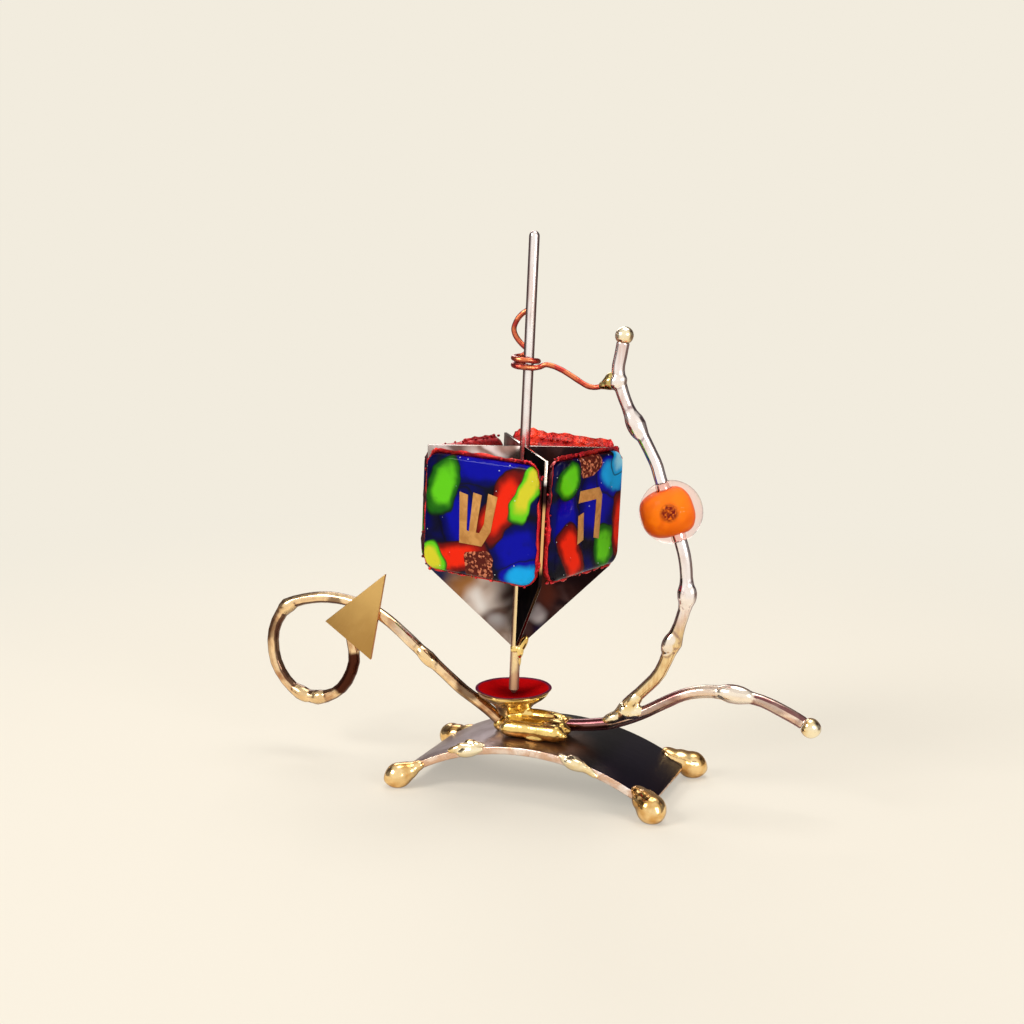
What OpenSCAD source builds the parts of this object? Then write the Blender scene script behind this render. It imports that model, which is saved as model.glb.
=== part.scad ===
// A dreidel on its welded stand. Four fused-glass tiles in torn copper foil hang on a cross of
// sheet-steel fins round a steel stem. The stem's tip turns in a copper cup, and a ring of copper
// wire holds it near the top. The stand is an arched steel plate on molten brass feet, with three
// bent and brazed rods. Millimetres, +Z up. The origin is on the ground under the middle of the
// cup, the arms lie in the XZ plane and the plate runs along X.

/* [Base plate] */
// Length of the arched plate, straight across from end to end
plate_length = 64; // [58:1:76]
// Width of the plate
plate_width = 31; // [26:1:40]
// Thickness of the plate's sheet
plate_thickness = 2; // [1.2:0.1:3]
// Rise of the arch from its ends to its middle
plate_rise = 9.5; // [7:0.5:14]
// How far the plate's middle lies to the right of the cup
plate_shift = 8.5; // [5:0.5:12]

/* [Feet] */
// Length of a molten brass foot
foot_length = 10; // [8:0.5:13]
// Greatest thickness of a foot
foot_width = 6.8; // [6:0.2:8]
// Depth by which a foot is ground flat underneath
foot_flat = 0.6; // [0.4:0.1:1]
// Slope at which a foot's thin end runs up its corner, in degrees
foot_slope = 18; // [8:1:24]

/* [Cup] */
// Diameter of the cup's rim
cup_d = 19.8; // [16:0.2:24]
// Depth of the cup's dish
cup_depth = 1.8; // [1.5:0.1:3]
// Thickness of the cup's copper
cup_thickness = 0.6; // [0.4:0.1:1]
// Height of the brass neck from the ridges' middle to the dish
neck_height = 6.8; // [5.5:0.1:9]
// Diameter of the neck at its narrowest
neck_d = 5; // [4:0.2:6]

/* [Brazed ridges] */
// Length of the ridges of brass that join cup and arm to the plate
ridge_length = 17; // [14:0.5:20]
// Diameter of one ridge
ridge_d = 4.4; // [4:0.1:5.4]
// Distance from ridge to ridge
ridge_pitch = 3.6; // [3:0.1:4]

/* [Rods] */
// Diameter of the rod that the three arms are bent from
rod_d = 3.2; // [2.4:0.1:4]
// Reach of the main arm from its socket to its ball
main_reach = 60; // [48:1:75]
// Rise of the main arm over its socket
main_rise = 13; // [10:0.5:18]
// Height of the upright arm from the main arm to its ball
upright_height = 93.8; // [86:0.2:100]
// How far the upright arm bows out
upright_bow = 16.4; // [12:0.2:20]
// Diameter of the melted ball that ends the main arm
main_ball_d = 4.9; // [4.4:0.1:6]
// Diameter of the melted ball that ends the upright arm
upright_ball_d = 4.4; // [4.2:0.1:6]

/* [Scroll] */
// Distance from the cup's middle to the middle of the scroll's loop
scroll_reach = 58; // [50:1:70]
// Height of the loop's middle over the ground
scroll_height = 28.4; // [26:0.2:34]
// Width of the loop between the rod's middle lines
loop_width = 25; // [20:0.5:30]
// Height of the loop between the rod's middle lines
loop_height = 27.5; // [22:0.5:32]

/* [Arrow] */
// Height of the brass arrow head
arrow_height = 23.4; // [18:0.2:28]
// Thickness of the arrow head's sheet
arrow_thickness = 0.9; // [0.6:0.1:1.5]

/* [Glass bead] */
// Diameter of the clear bead
bead_d = 15.4; // [14:0.2:18]
// Diameter of its coloured core
core_d = 12.8; // [10:0.2:13.4]

/* [Wire guide] */
// Diameter of the copper wire
wire_d = 1.5; // [1:0.1:1.7]
// Free width inside the wire's ring
guide_inner_d = 4.6; // [4:0.1:6]
// Height over the ground of the ring's lower turn
guide_height = 105.7; // [102:0.1:110]
// Rise of the wire in one turn
guide_pitch = 2.6; // [2.4:0.1:3.2]

/* [Dreidel] */
// Length of the stem from its tip
stem_length = 116; // [105:1:130]
// Diameter of the stem
stem_d = 2.6; // [2:0.1:3]
// Lean of the stem towards the ring's far side, in degrees
stem_lean = 2.7; // [2:0.1:3.2]
// Turn of the dreidel about its stem, in degrees
stem_turn = 33.6; // [0:0.1:90]
// Thickness of the fins' sheet
fin_thickness = 0.8; // [0.5:0.1:1.2]
// Height of a fin over its slanted part
fin_height = 30.8; // [29.5:0.2:34]
// Distance along the stem from its tip to the fins' lower corners
fin_start = 32.8; // [30:0.2:36]
// Height of a fin's slanted part
fin_slant = 20.8; // [18:0.2:22]
// How far a fin stands out between the tiles' edges
fin_proud = 0.5; // [0.3:0.1:0.8]

/* [Tiles] */
// Width of a glass tile
tile_width = 32.2; // [28:0.2:34]
// Height of a glass tile
tile_height = 28.8; // [24:0.2:29]
// Thickness of a glass tile
tile_thickness = 3; // [2.8:0.1:4]
// Radius of a tile's corners, seen from the front
tile_corner = 3.6; // [2.6:0.1:5]
// Radius of a tile's rounded edges
tile_edge = 1.3; // [1.1:0.05:1.4]
// Thickness of the copper foil behind a tile
foil_thickness = 0.25; // [0.15:0.05:0.35]
// Height to which the torn foil laps round a tile's edges
foil_lap = 1.9; // [1.6:0.1:2.2]
// Height by which the torn foil stands up over a tile's top
foil_flare = 1.6; // [1:0.1:2.4]
// Height of a gilded letter
letter_height = 13; // [9:0.5:16]
// Thickness of the gilding
letter_thickness = 0.15; // [0.1:0.05:0.3]

/* [Hidden] */

// Clearance round what is pushed into a brazed socket
fit = 0.05;
// Room for the glue between a foil and a fin
glue_gap = 0.08;
// Gap between the stem's tip and the cup
tip_gap = 0.2;
// Gap between the leaning stem and the ring's wall
guide_gap = 0.3;
// Running clearance of the bead on its rod
bead_gap = 0.25;
// How far a rod goes into its socket
socket_depth = 2;
// Overrun of every cut
over = 1;
// Sides of a swept rod
rod_sides = 14;
// Sides of the swept wire
wire_sides = 8;
// Steps between two points of a route
route_steps = 3;
// Sides of round shapes
smooth = 64;

rod_r = rod_d / 2;
wire_r = wire_d / 2;
stem_r = stem_d / 2;

// Base plate: the arch is part of a ring that lies across X
plate_inner_r = (pow(plate_length / 2, 2) + pow(plate_rise, 2)) / (2 * plate_rise);
plate_outer_r = plate_inner_r + plate_thickness;
plate_half_angle = asin(plate_length / 2 / plate_inner_r);
foot_r = foot_width / 2;
plate_lift = foot_r - foot_flat - plate_thickness / 2;
plate_axis_z = plate_lift + plate_rise - plate_inner_r;

// Height of the plate's upper face at a place along X
function plate_top(x) = plate_axis_z + sqrt(pow(plate_outer_r, 2) - pow(x - plate_shift, 2));

// Feet: an egg whose thick end points out from the plate's corner
foot_peak_share = 0.4;
// Feet: side along X, side along Y, size, direction of the thick end, and the thickest place's
// offset from the plate's corner along X and Y in foot lengths
foot_shares = [
    [-1, -1, 1, [-0.85, -0.49], -0.09, -0.21], [1, -1, 1.1, [0.72, -0.69], 0.16, -0.19],
    [-1, 1, 1, [-0.9, 0.44], -0.16, 0.17], [1, 1, 1.06, [0.93, 0.37], 0.22, 0.17]
];

// Ridges and cup, stacked on the plate's crown
ridge_r = ridge_d / 2;
ridge_z = plate_top(plate_shift) + ridge_r * 0.92;
ridge_start = ridge_r * 0.6;
ridge_ends = [ridge_start, ridge_start + ridge_length - ridge_d];
ridge_places = [[0.1, 1], [-1, 1.04], [-2.05, 0.94]];
dish_r = (pow(cup_d / 2, 2) + pow(cup_depth, 2)) / (2 * cup_depth);
cup_floor_z = ridge_z + neck_height;
pivot_z = cup_floor_z + tip_gap;

// Stem line: where the leaning stem's middle is at a height over the ground
function stem_x(z) = (z - pivot_z) * tan(stem_lean);

// Routes of the three arms, as shares of each arm's own reach and rise
main_start = [ridge_ends[1] + ridge_r - socket_depth, 0, ridge_z + rod_r * 0.1];
main_shares = [
    [0, 0], [0.12, 0.07], [0.215, 0.17], [0.33, 0.4], [0.42, 0.64], [0.51, 0.86],
    [0.6, 0.97], [0.7, 0.98], [0.83, 0.91], [0.95, 0.69], [1, 0.57]
];
main_points = [for (s = main_shares) main_start + [s[0] * main_reach, 0, s[1] * main_rise]];
upright_foot_share = 0.225;
upright_start = at_share(main_points, upright_foot_share) + [0, 0, rod_r + ridge_r * 0.15];
upright_shares = [
    [0.09, 0.0235], [0.22, 0.047], [0.354, 0.07], [0.604, 0.122], [0.8, 0.205], [0.933, 0.277],
    [0.99, 0.325], [0.985, 0.38], [0.96, 0.422], [0.9, 0.464], [0.731, 0.548], [0.562, 0.632],
    [0.47, 0.678], [0.195, 0.765], [0.09, 0.797], [-0.037, 0.851], [-0.104, 0.904],
    [-0.067, 0.945], [-0.03, 0.978]
];
upright_points = [
    for (s = upright_shares) upright_start + [s[0] * upright_bow, 0, s[1] * upright_height]
];
scroll_start = [-ridge_r * 1.6, 0, plate_top(-ridge_r * 1.6) + rod_r * 1.45];
loop_top = [-scroll_reach, 0, scroll_height + loop_height / 2];
scroll_shares = [
    [0, 0], [0.055, 0.085], [0.115, 0.163], [0.19, 0.25], [0.275, 0.378], [0.375, 0.53],
    [0.52, 0.757], [0.615, 0.885], [0.72, 0.972], [0.86, 1.02]
];
loop_end_turn = 296;
loop_turn_step = 37;
scroll_points = concat(
    [
        for (s = scroll_shares)
            [mix(scroll_start[0], loop_top[0], s[0]), 0, mix(scroll_start[2], loop_top[2], s[1])]
    ],
    [
        for (turn = [0:loop_turn_step:loop_end_turn])
            [
                -scroll_reach - loop_width / 2 * sin(turn),
                0,
                scroll_height + loop_height / 2 * cos(turn)
            ]
    ]
);

// Swellings of melted brass on the rods: share of the route, half length and height in rod radii
main_swelling_shares = [[0.715, 2.8, 0.5]];
upright_swelling_shares = [[0.222, 2.5, 0.5], [0.344, 2.4, 0.52], [0.728, 2.6, 0.46]];
scroll_swelling_shares = [
    [0.278, 2, 0.2], [0.611, 2.2, 0.34], [0.8, 2.2, 0.36], [0.839, 1.9, 0.3]
];

// Arrow head: its corners round the place where the arm passes behind it
arrow_share = 0.439;
arrow_shares = [[0.31, 0.415], [-0.46, -0.19], [0.11, -0.585]];
arrow_place = at_share(scroll_points, arrow_share);
arrow_y = -rod_r - fit;

// Bead: its hole follows the straight stretch of the upright arm
bead_share = 10 / 18;
bead_centre = at_share(upright_points, bead_share);
bead_axis = heading(upright_points, bead_share);
bead_tilt = atan2(bead_axis[0], bead_axis[2]);
bead_flat_share = 0.94;

// Wire guide: lead from the upright arm, ring round the stem and a free curl behind it
guide_r = (guide_inner_d + wire_d) / 2;
guide_x = stem_x(guide_height) - (guide_inner_d / 2 - stem_r - guide_gap);
wire_share = 0.858;
wire_root = at_share(upright_points, wire_share);
guide_first_turn = 15;
guide_last_turn = 600;
guide_turn_step = 40;
guide_turns = [guide_first_turn + guide_turn_step / 2:guide_turn_step:guide_last_turn];
guide_entry_share = 0.05;
lead_shares = [
    [0.06, -0.079], [0.14, -0.184], [0.25, -0.291], [0.36, -0.273], [0.524, -0.085],
    [0.7, 0.095], [0.86, 0.164], [0.95, 0.052]
];
lead_span_share = 2.17;
lead_span = guide_r * lead_span_share;
guide_entry = guide_point(guide_first_turn);
curl_shares = [
    [-0.2, 0.9, 0.45], [-0.95, 0.95, 1.1], [-1.45, 0.95, 2.1], [-0.85, 0.95, 3.2], [0, 0.95, 3.75]
];
function guide_point(turn) = [
    guide_x + guide_r * cos(turn),
    -guide_r * sin(turn),
    guide_height + guide_pitch * (turn - 90) / 360
];
wire_points = concat(
    [wire_root - [rod_r + wire_r * 0.45, 0, 0]],
    [
        for (s = lead_shares)
            [
                mix(wire_root[0] - rod_r, guide_entry[0], s[0]),
                mix(0, guide_entry[1], s[0] * s[0]),
                mix(wire_root[2], guide_entry[2], s[0] * s[0] * (3 - 2 * s[0])) + s[1] * lead_span
            ]
    ],
    [for (turn = guide_turns) guide_point(turn)],
    [
        for (s = curl_shares)
            [guide_x, 0, guide_point(guide_last_turn)[2]] + guide_r * s
    ]
);

// Dreidel, measured along the stem from its tip
fin_band = fin_thickness / sqrt(2);
tile_apothem = tile_width / 2 - 2 * tile_edge + fin_band
    + sqrt(2) * (tile_edge + fit + foil_thickness + glue_gap);
fin_reach = sqrt(2) * (tile_apothem + fin_proud) - fin_thickness / 2;
fin_splay = fin_thickness * 0.8;
fin_top = fin_start + fin_height;
fin_foot = fin_start - fin_slant;
tile_middle = fin_start + fin_height / 2 - fin_thickness;
// How far each hand-set tile sits over the middle, as shares of its height
tile_raise_shares = [0.014, 0.05, 0.03, 0.02];
stem_drop_d = stem_d * 1.5;
stem_drop_length = stem_d * 2.6;

// Outline shares of the plain block letters, from the lower left corner of each
letter_width_share = 0.86;
shin_shares = [
    [
        [0.04, 0], [0.62, 0], [0.84, 0.3], [0.98, 0.96], [0.74, 1], [0.66, 0.42], [0.55, 0.24],
        [0.46, 0.24], [0.58, 0.95], [0.36, 0.98], [0.28, 0.24], [0.22, 0.26], [0.22, 0.92], [0, 0.96]
    ]
];
hei_shares = [
    [[0, 0.78], [0.06, 1], [0.86, 1], [1, 0.84], [0.95, 0], [0.72, 0.05], [0.76, 0.78]],
    [[0.04, 0], [0.28, 0.06], [0.24, 0.58], [0.02, 0.54]]
];
gimel_shares = [
    [
        [0, 0], [0.2, 0.02], [0.48, 0.3], [0.56, 0], [0.8, 0.02], [0.74, 0.88], [0.6, 1],
        [0.2, 1], [0.16, 0.8], [0.5, 0.78], [0.5, 0.5]
    ]
];
nun_shares = [
    [
        [0, 0], [0.7, 0], [0.78, 0.2], [0.72, 0.88], [0.58, 1], [0.18, 1], [0.14, 0.8],
        [0.48, 0.78], [0.52, 0.22], [0.02, 0.22]
    ]
];

// Points and surfaces

function mix(a, b, share) = a + (b - a) * share;

function unit(v) = v / norm(v);

// A point of the smooth curve through points, at a stop such as 2.5 between points 2 and 3
function spline_at(points, stop) =
    let (
        last = len(points) - 1,
        i = min(floor(stop), last - 1),
        t = stop - i,
        a = points[max(i - 1, 0)],
        b = points[i],
        c = points[i + 1],
        d = points[min(i + 2, last)]
    )
    0.5 * (2 * b + (c - a) * t + (2 * a - 5 * b + 4 * c - d) * t * t + (3 * b - a - 3 * c + d) * t * t * t);

// A point of the smooth curve at a share of its route, and the way the curve heads there
function at_share(points, share) = spline_at(points, share * (len(points) - 1));

function heading(points, share) = at_share(points, share + 0.01) - at_share(points, share - 0.01);

function spline(points, steps) = [
    for (i = [0:(len(points) - 1) * steps]) spline_at(points, i / steps)
];

function tangents(path) = [
    for (i = [0:len(path) - 1]) unit(path[min(i + 1, len(path) - 1)] - path[max(i - 1, 0)])
];

// Normals that turn as little as they can from ring to ring
function normals(along, normal, i = 0) =
    i == len(along) ? [] :
    let (next = unit(normal - (normal * along[i]) * along[i]))
    concat([next], normals(along, next, i + 1));

// Extra radius at p from swellings whose middles are on the same curve
function swelling(p, points, swellings) =
    let (
        heights = [
            for (s = swellings)
                let (away = norm(p - at_share(points, s[0])) / (s[1] * rod_r))
                away < 1 ? s[2] * rod_r * pow(cos(90 * away), 2) : 0
        ]
    )
    max(concat(heights, 0));

// The middle of a ring of points
function ring_middle(ring) = [for (axis = [0:2]) sum([for (p = ring) p[axis]]) / len(ring)];

function sum(list) = list * [for (value = list) 1];

// A solid skin over rings that have equally many points, its ends closed by fans of triangles
module skin(rings) {
    n = len(rings[0]);
    last = len(rings) - 1;
    first_middle = (last + 1) * n;
    polyhedron(
        points = concat(
            [for (r = rings) each r], [ring_middle(rings[0]), ring_middle(rings[last])]
        ),
        faces = concat(
            [for (k = [0:n - 1]) [k, (k + 1) % n, first_middle]],
            [for (k = [0:n - 1]) [last * n + (k + 1) % n, last * n + k, first_middle + 1]],
            [
                for (i = [0:last - 1])
                    for (k = [0:n - 1])
                        let (a = i * n + k, b = i * n + (k + 1) % n)
                        each [[a, b + n, b], [a, a + n, b + n]]
            ]
        ),
        convexity = 8
    );
}

// A round bar along a smooth route, thicker where brass has run on it
module bent_bar(points, radius, sides, normal, swellings = []) {
    path = spline(points, route_steps);
    along = tangents(path);
    across = normals(along, normal);
    skin([
        for (i = [0:len(path) - 1])
            let (r = radius + swelling(path[i], points, swellings), side = cross(along[i], across[i]))
            [
                for (k = [0:sides - 1])
                    path[i] + r * (cos(360 * k / sides) * across[i] + sin(360 * k / sides) * side)
            ]
    ]);
}

// Turns the X axis to a direction in the XZ plane
module along_x(direction) {
    rotate([0, -atan2(direction[2], direction[0]), 0]) children();
}

// An egg along X with its thickest place at the origin
module egg(length, width, peak_share) {
    power = ln(0.5) / ln(peak_share);
    steps = 16;
    translate([-length * peak_share, 0, 0])
        rotate([0, 90, 0])
            rotate_extrude($fn = smooth)
                polygon([
                    for (k = [0:steps]) [width / 2 * sin(180 * pow(k / steps, power)), length * k / steps]
                ]);
}

// A straight socket for a rod, from a point along a direction
module socket(point, direction, d) {
    translate(point - 0.1 * d * unit(direction))
        along_x(direction)
            rotate([0, 90, 0])
                cylinder(d = d + 2 * fit, h = d * 3, $fn = smooth);
}

// The hole in a joint that a rod passes through
module passage(point, direction) {
    translate(point - 2 * rod_d * unit(direction))
        along_x(direction)
            rotate([0, 90, 0])
                cylinder(d = rod_d + 8 * fit, h = 4 * rod_d, $fn = smooth);
}

// Stand

module plate_body(extra = 0) {
    translate([plate_shift, 0, plate_axis_z])
        rotate([90, 0, 0])
            rotate([0, 0, 90 - plate_half_angle])
                rotate_extrude(angle = 2 * plate_half_angle, $fn = 4 * smooth)
                    translate([plate_inner_r, -plate_width / 2])
                        square([plate_thickness + extra, plate_width]);
}

module base_plate() {
    color("#3a3038") plate_body();
}

module foot(number) {
    s = foot_shares[number];
    r = foot_r * s[2];
    corner = [plate_shift + s[0] * plate_length / 2, s[1] * plate_width / 2];
    color("#c9a24a")
        difference() {
            translate([corner[0] + s[4] * foot_length, corner[1] + s[5] * foot_length, r - foot_flat])
                rotate([0, -foot_slope, atan2(-s[3][1], -s[3][0])])
                    egg(foot_length * s[2], 2 * r, foot_peak_share);
            plate_body();
            translate([corner[0] - foot_length * 2, corner[1] - foot_length * 2, -foot_width])
                cube([foot_length * 4, foot_length * 4, foot_width]);
        }
}

module edge_drops() {
    drop_turn_shares = [[-0.42, 1], [0.4, 1.05]];
    drop_length = plate_thickness * 4.2;
    drop_width = plate_thickness * 1.5;
    color("#c9a24a")
        for (s = drop_turn_shares)
            difference() {
                translate([plate_shift, -plate_width / 2, plate_axis_z])
                    rotate([0, s[0] * plate_half_angle, 0])
                        translate([0, 0, mix(plate_inner_r, plate_outer_r, 0.6)])
                            egg(drop_length * s[1], drop_width * s[1], 0.45);
                plate_body();
            }
}

module ridge_bars() {
    for (place = ridge_places)
        translate([0, place[0] * ridge_pitch, 0]) {
            translate([ridge_ends[0], 0, ridge_z])
                rotate([0, 90, 0])
                    cylinder(r = ridge_r * place[1], h = ridge_ends[1] - ridge_ends[0], $fn = smooth);
            for (x = ridge_ends)
                translate([x, 0, ridge_z])
                    sphere(r = ridge_r * place[1], $fn = smooth);
        }
}

module brazed_ridges() {
    color("#c9a24a")
        difference() {
            ridge_bars();
            plate_body();
            socket(main_points[0], main_points[1] - main_points[0], rod_d);
        }
}

module neck_body() {
    flare_r = cup_d * 0.36;
    steps = 10;
    translate([0, 0, ridge_z])
        rotate_extrude($fn = smooth)
            polygon(concat(
                [[0, 0]],
                [
                    for (k = [0:steps])
                        [mix(neck_d / 2, flare_r, pow(k / steps, 3)), neck_height * k / steps]
                ],
                [[0, neck_height]]
            ));
}

module cup_neck() {
    color("#c9a24a")
        difference() {
            neck_body();
            dish_ball(cup_thickness);
            ridge_bars();
            plate_body();
        }
}

// The ball whose lower cap is the dish of the cup
module dish_ball(extra) {
    translate([0, 0, cup_floor_z + dish_r])
        sphere(r = dish_r + extra, $fn = 2 * smooth);
}

module cup() {
    color("#a5402a")
        difference() {
            intersection() {
                dish_ball(cup_thickness);
                translate([0, 0, cup_floor_z - cup_thickness - over])
                    cylinder(d = cup_d, h = cup_depth + cup_thickness + over, $fn = 2 * smooth);
            }
            dish_ball(0);
        }
}

module main_arm() {
    color("#b08a5a") bent_bar(main_points, rod_r, rod_sides, [0, 1, 0], main_swelling_shares);
}

module upright_arm() {
    color("#b08a5a") bent_bar(upright_points, rod_r, rod_sides, [0, 1, 0], upright_swelling_shares);
}

module scroll_arm() {
    color("#b08a5a") bent_bar(scroll_points, rod_r, rod_sides, [0, 1, 0], scroll_swelling_shares);
}

// A melted ball with a flat against the end of a rod
module end_ball(points, d) {
    last = len(points) - 1;
    direction = points[last] - spline_at(points, last - 1 / route_steps);
    flat = sqrt(pow(d / 2, 2) - pow(rod_r, 2));
    color("#c9a24a")
        translate(points[last])
            along_x(direction)
                translate([flat, 0, 0])
                    difference() {
                        sphere(d = d, $fn = smooth);
                        translate([-flat - d, -d, -d]) cube([d, 2 * d, 2 * d]);
                    }
}

module main_arm_ball() {
    end_ball(main_points, main_ball_d);
}

module upright_arm_ball() {
    end_ball(upright_points, upright_ball_d);
}

// Brass that joins the upright arm's foot to the main arm
module upright_joint() {
    below = at_share(main_points, upright_foot_share);
    beside = heading(main_points, upright_foot_share);
    color("#c9a24a")
        difference() {
            translate(mix(below, upright_points[1], 0.42))
                along_x(beside)
                    egg(rod_d * 2.3, rod_d * 1.6, 0.5);
            passage(below, beside);
            for (i = [0, 1])
                socket(upright_points[i], upright_points[i + 1] - upright_points[i], rod_d + 4 * fit);
        }
}

// Brass under the scroll arm's lower end, on the plate
module scroll_joint() {
    start = scroll_points[0];
    color("#c9a24a")
        difference() {
            translate(start - [0, 0, rod_r * 0.35]) sphere(r = rod_r * 1.3, $fn = smooth);
            plate_body();
            ridge_bars();
            neck_body();
            socket(start, scroll_points[1] - start, rod_d + 2 * fit);
        }
}

module arrow_head() {
    color("#c8a355")
        translate([arrow_place[0], arrow_y, arrow_place[2]])
            rotate([90, 0, 0])
                linear_extrude(height = arrow_thickness)
                    polygon(arrow_height * arrow_shares);
}

// Drops of brass between the arm and the back of the arrow head
module arrow_joint() {
    beside = heading(scroll_points, arrow_share);
    color("#c9a24a")
        difference() {
            for (side = [-1, 1])
                translate(arrow_place)
                    along_x(beside)
                        translate([0, -rod_r, side * rod_r * 0.8])
                            sphere(r = rod_r * 0.9, $fn = smooth);
            passage(arrow_place, beside);
            translate([
                arrow_place[0] - arrow_height, arrow_y - arrow_height, arrow_place[2] - arrow_height
            ])
                cube([2 * arrow_height, arrow_height, 2 * arrow_height]);
        }
}

module on_bead_axis() {
    translate(bead_centre) rotate([0, bead_tilt, 0]) children();
}

// A ball with flat ends and the rod's hole through it
module bored_ball(d, flat_share) {
    difference() {
        intersection() {
            sphere(d = d, $fn = 2 * smooth);
            cube([2 * d, 2 * d, d * flat_share], center = true);
        }
        cylinder(d = rod_d + 2 * bead_gap, h = 2 * d, center = true, $fn = smooth);
    }
}

module bead_glass() {
    color("#f6efe6", 0.4)
        on_bead_axis()
            difference() {
                bored_ball(bead_d, bead_flat_share);
                intersection() {
                    sphere(d = core_d + 2 * fit, $fn = 2 * smooth);
                    cube([2 * bead_d, 2 * bead_d, core_d * bead_flat_share + 2 * fit], center = true);
                }
            }
}

module bead_core() {
    color("#e8622a") on_bead_axis() bored_ball(core_d, bead_flat_share);
}

module wire_guide() {
    color("#b5603c") bent_bar(wire_points, wire_r, wire_sides, [0, 0, 1]);
}

// Brass that joins the wire to the upright arm
module wire_joint() {
    way = wire_points[2] - wire_points[0];
    color("#c9a24a")
        difference() {
            translate(wire_points[0])
                along_x(way)
                    egg(rod_d * 1.9, rod_d * 1.2, 0.34);
            passage(wire_root, heading(upright_points, wire_share));
            for (i = [0, 1])
                socket(wire_points[i], wire_points[i + 1] - wire_points[i], wire_d + 4 * fit);
        }
}

// Dreidel

module on_stem() {
    translate([0, 0, pivot_z]) rotate([0, stem_lean, 0]) rotate([0, 0, stem_turn]) children();
}

module stem_bar() {
    tip = stem_r * 0.8;
    cylinder(r1 = stem_r * 0.3, r2 = stem_r, h = tip, $fn = smooth);
    translate([0, 0, tip]) cylinder(r = stem_r, h = stem_length - tip - stem_r, $fn = smooth);
    translate([0, 0, stem_length - stem_r]) sphere(r = stem_r, $fn = smooth);
}

module stem() {
    color("#b9a79c") on_stem() stem_bar();
}

module fin_sheet(quarter) {
    rotate([0, 0, quarter * 90])
        rotate([90, 0, 0])
            linear_extrude(height = fin_thickness, center = true)
                polygon([
                    [stem_r / 2, fin_foot], [fin_reach - fin_splay, fin_start],
                    [fin_reach, fin_start + fin_splay], [fin_reach + fin_splay, fin_top],
                    [stem_r / 2, fin_top]
                ]);
}

module fin(quarter) {
    color("#5a5048")
        on_stem()
            difference() {
                fin_sheet(quarter);
                translate([0, 0, fin_foot - over])
                    cylinder(r = stem_r, h = fin_top - fin_foot + 2 * over, $fn = smooth);
            }
}

// Brass run round the stem where the fins come to their point
module stem_drop() {
    color("#c9a24a")
        on_stem()
            difference() {
                translate([0, 0, fin_foot + stem_drop_length * 0.1])
                    rotate([0, -90, 0])
                        egg(stem_drop_length, stem_drop_d, 0.5);
                translate([0, 0, fin_foot - stem_drop_length])
                    cylinder(r = stem_r, h = 3 * stem_drop_length, $fn = smooth);
                for (quarter = [0:3]) fin_sheet(quarter);
            }
}

// Places a face of the dreidel with its outside towards -Y and its middle on the Z axis
module on_face(quarter) {
    on_stem()
        rotate([0, 0, quarter * 90 - 45])
            translate([0, -tile_apothem, tile_middle + tile_height * tile_raise_shares[quarter]])
                children();
}

// Points of a rectangle with round corners, in a plane at depth y in front of the tile's back.
// A torn ring is uneven, and its top stands up by flare
function tile_ring(grow, y, side_steps = 1, torn = 0, flare = 0) =
    let (
        r = tile_corner + grow,
        half = [tile_width / 2 + grow - r, tile_height / 2 + grow - r],
        corner_steps = 5,
        n = corner_steps + side_steps
    )
    [
        for (q = [0:3])
            for (k = [0:n - 1])
                let (
                    a = 90 * q + 90 * min(k, corner_steps) / corner_steps,
                    along = max(k - corner_steps, 0) / side_steps,
                    turn = q * 90,
                    from = [q % 3 == 0 ? half[0] : -half[0], q < 2 ? half[1] : -half[1]],
                    to = [q < 2 ? -half[0] : half[0], q % 3 == 0 ? half[1] : -half[1]],
                    middle = [mix(from[0], to[0], along), mix(from[1], to[1], along)],
                    wave = torn * (sin((q * n + k) * 83) + sin((q * n + k) * 131)) / 2,
                    top = flare * max(sin(a), 0) * (q == 0 || (q == 1 && k < corner_steps) ? 1 : 0)
                )
                [
                    middle[0] + r * cos(a),
                    -y - wave,
                    middle[1] + r * sin(a) + top * (1 + wave / foil_lap)
                ]
    ];

edge_turns = [0:30:90];

module tile_body() {
    skin(concat(
        [for (a = edge_turns) tile_ring(-tile_edge * (1 - sin(a)), tile_edge * (1 - cos(a)))],
        [
            for (a = edge_turns)
                tile_ring(-tile_edge * (1 - cos(a)), tile_thickness - tile_edge * (1 - sin(a)))
        ]
    ));
}

// Torn foil: a thin tray round the tile's back, with an uneven lip that flares at the top
module foil_body(flare) {
    inner = fit;
    outer = fit + foil_thickness;
    side_steps = 8;
    torn = foil_lap * 0.2;
    function shell_ring(grow, a) = tile_ring(
        -tile_edge + (tile_edge + grow) * sin(a), tile_edge - (tile_edge + grow) * cos(a), side_steps
    );
    skin(concat(
        [for (a = edge_turns) shell_ring(outer, a)],
        [for (grow = [outer, inner]) tile_ring(grow, foil_lap, side_steps, torn, flare)],
        [for (a = [90:-30:0]) shell_ring(inner, a)]
    ));
}

module tile(quarter, shade) {
    color(shade) on_face(quarter) tile_body();
}

module foil(quarter, flare_share) {
    color("#b03a2a") on_face(quarter) foil_body(foil_flare * flare_share);
}

module letter(quarter, shares) {
    letter_size = [letter_height * letter_width_share, letter_height];
    widest = max([for (outline = shares) for (p = outline) p[0]]) * letter_size[0];
    color("#c8843a")
        on_face(quarter)
            translate([-widest / 2, -tile_thickness, -letter_height / 2])
                rotate([90, 0, 0])
                    linear_extrude(height = letter_thickness)
                        for (outline = shares)
                            polygon([for (p = outline) [p[0] * letter_size[0], p[1] * letter_size[1]]]);
}

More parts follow.
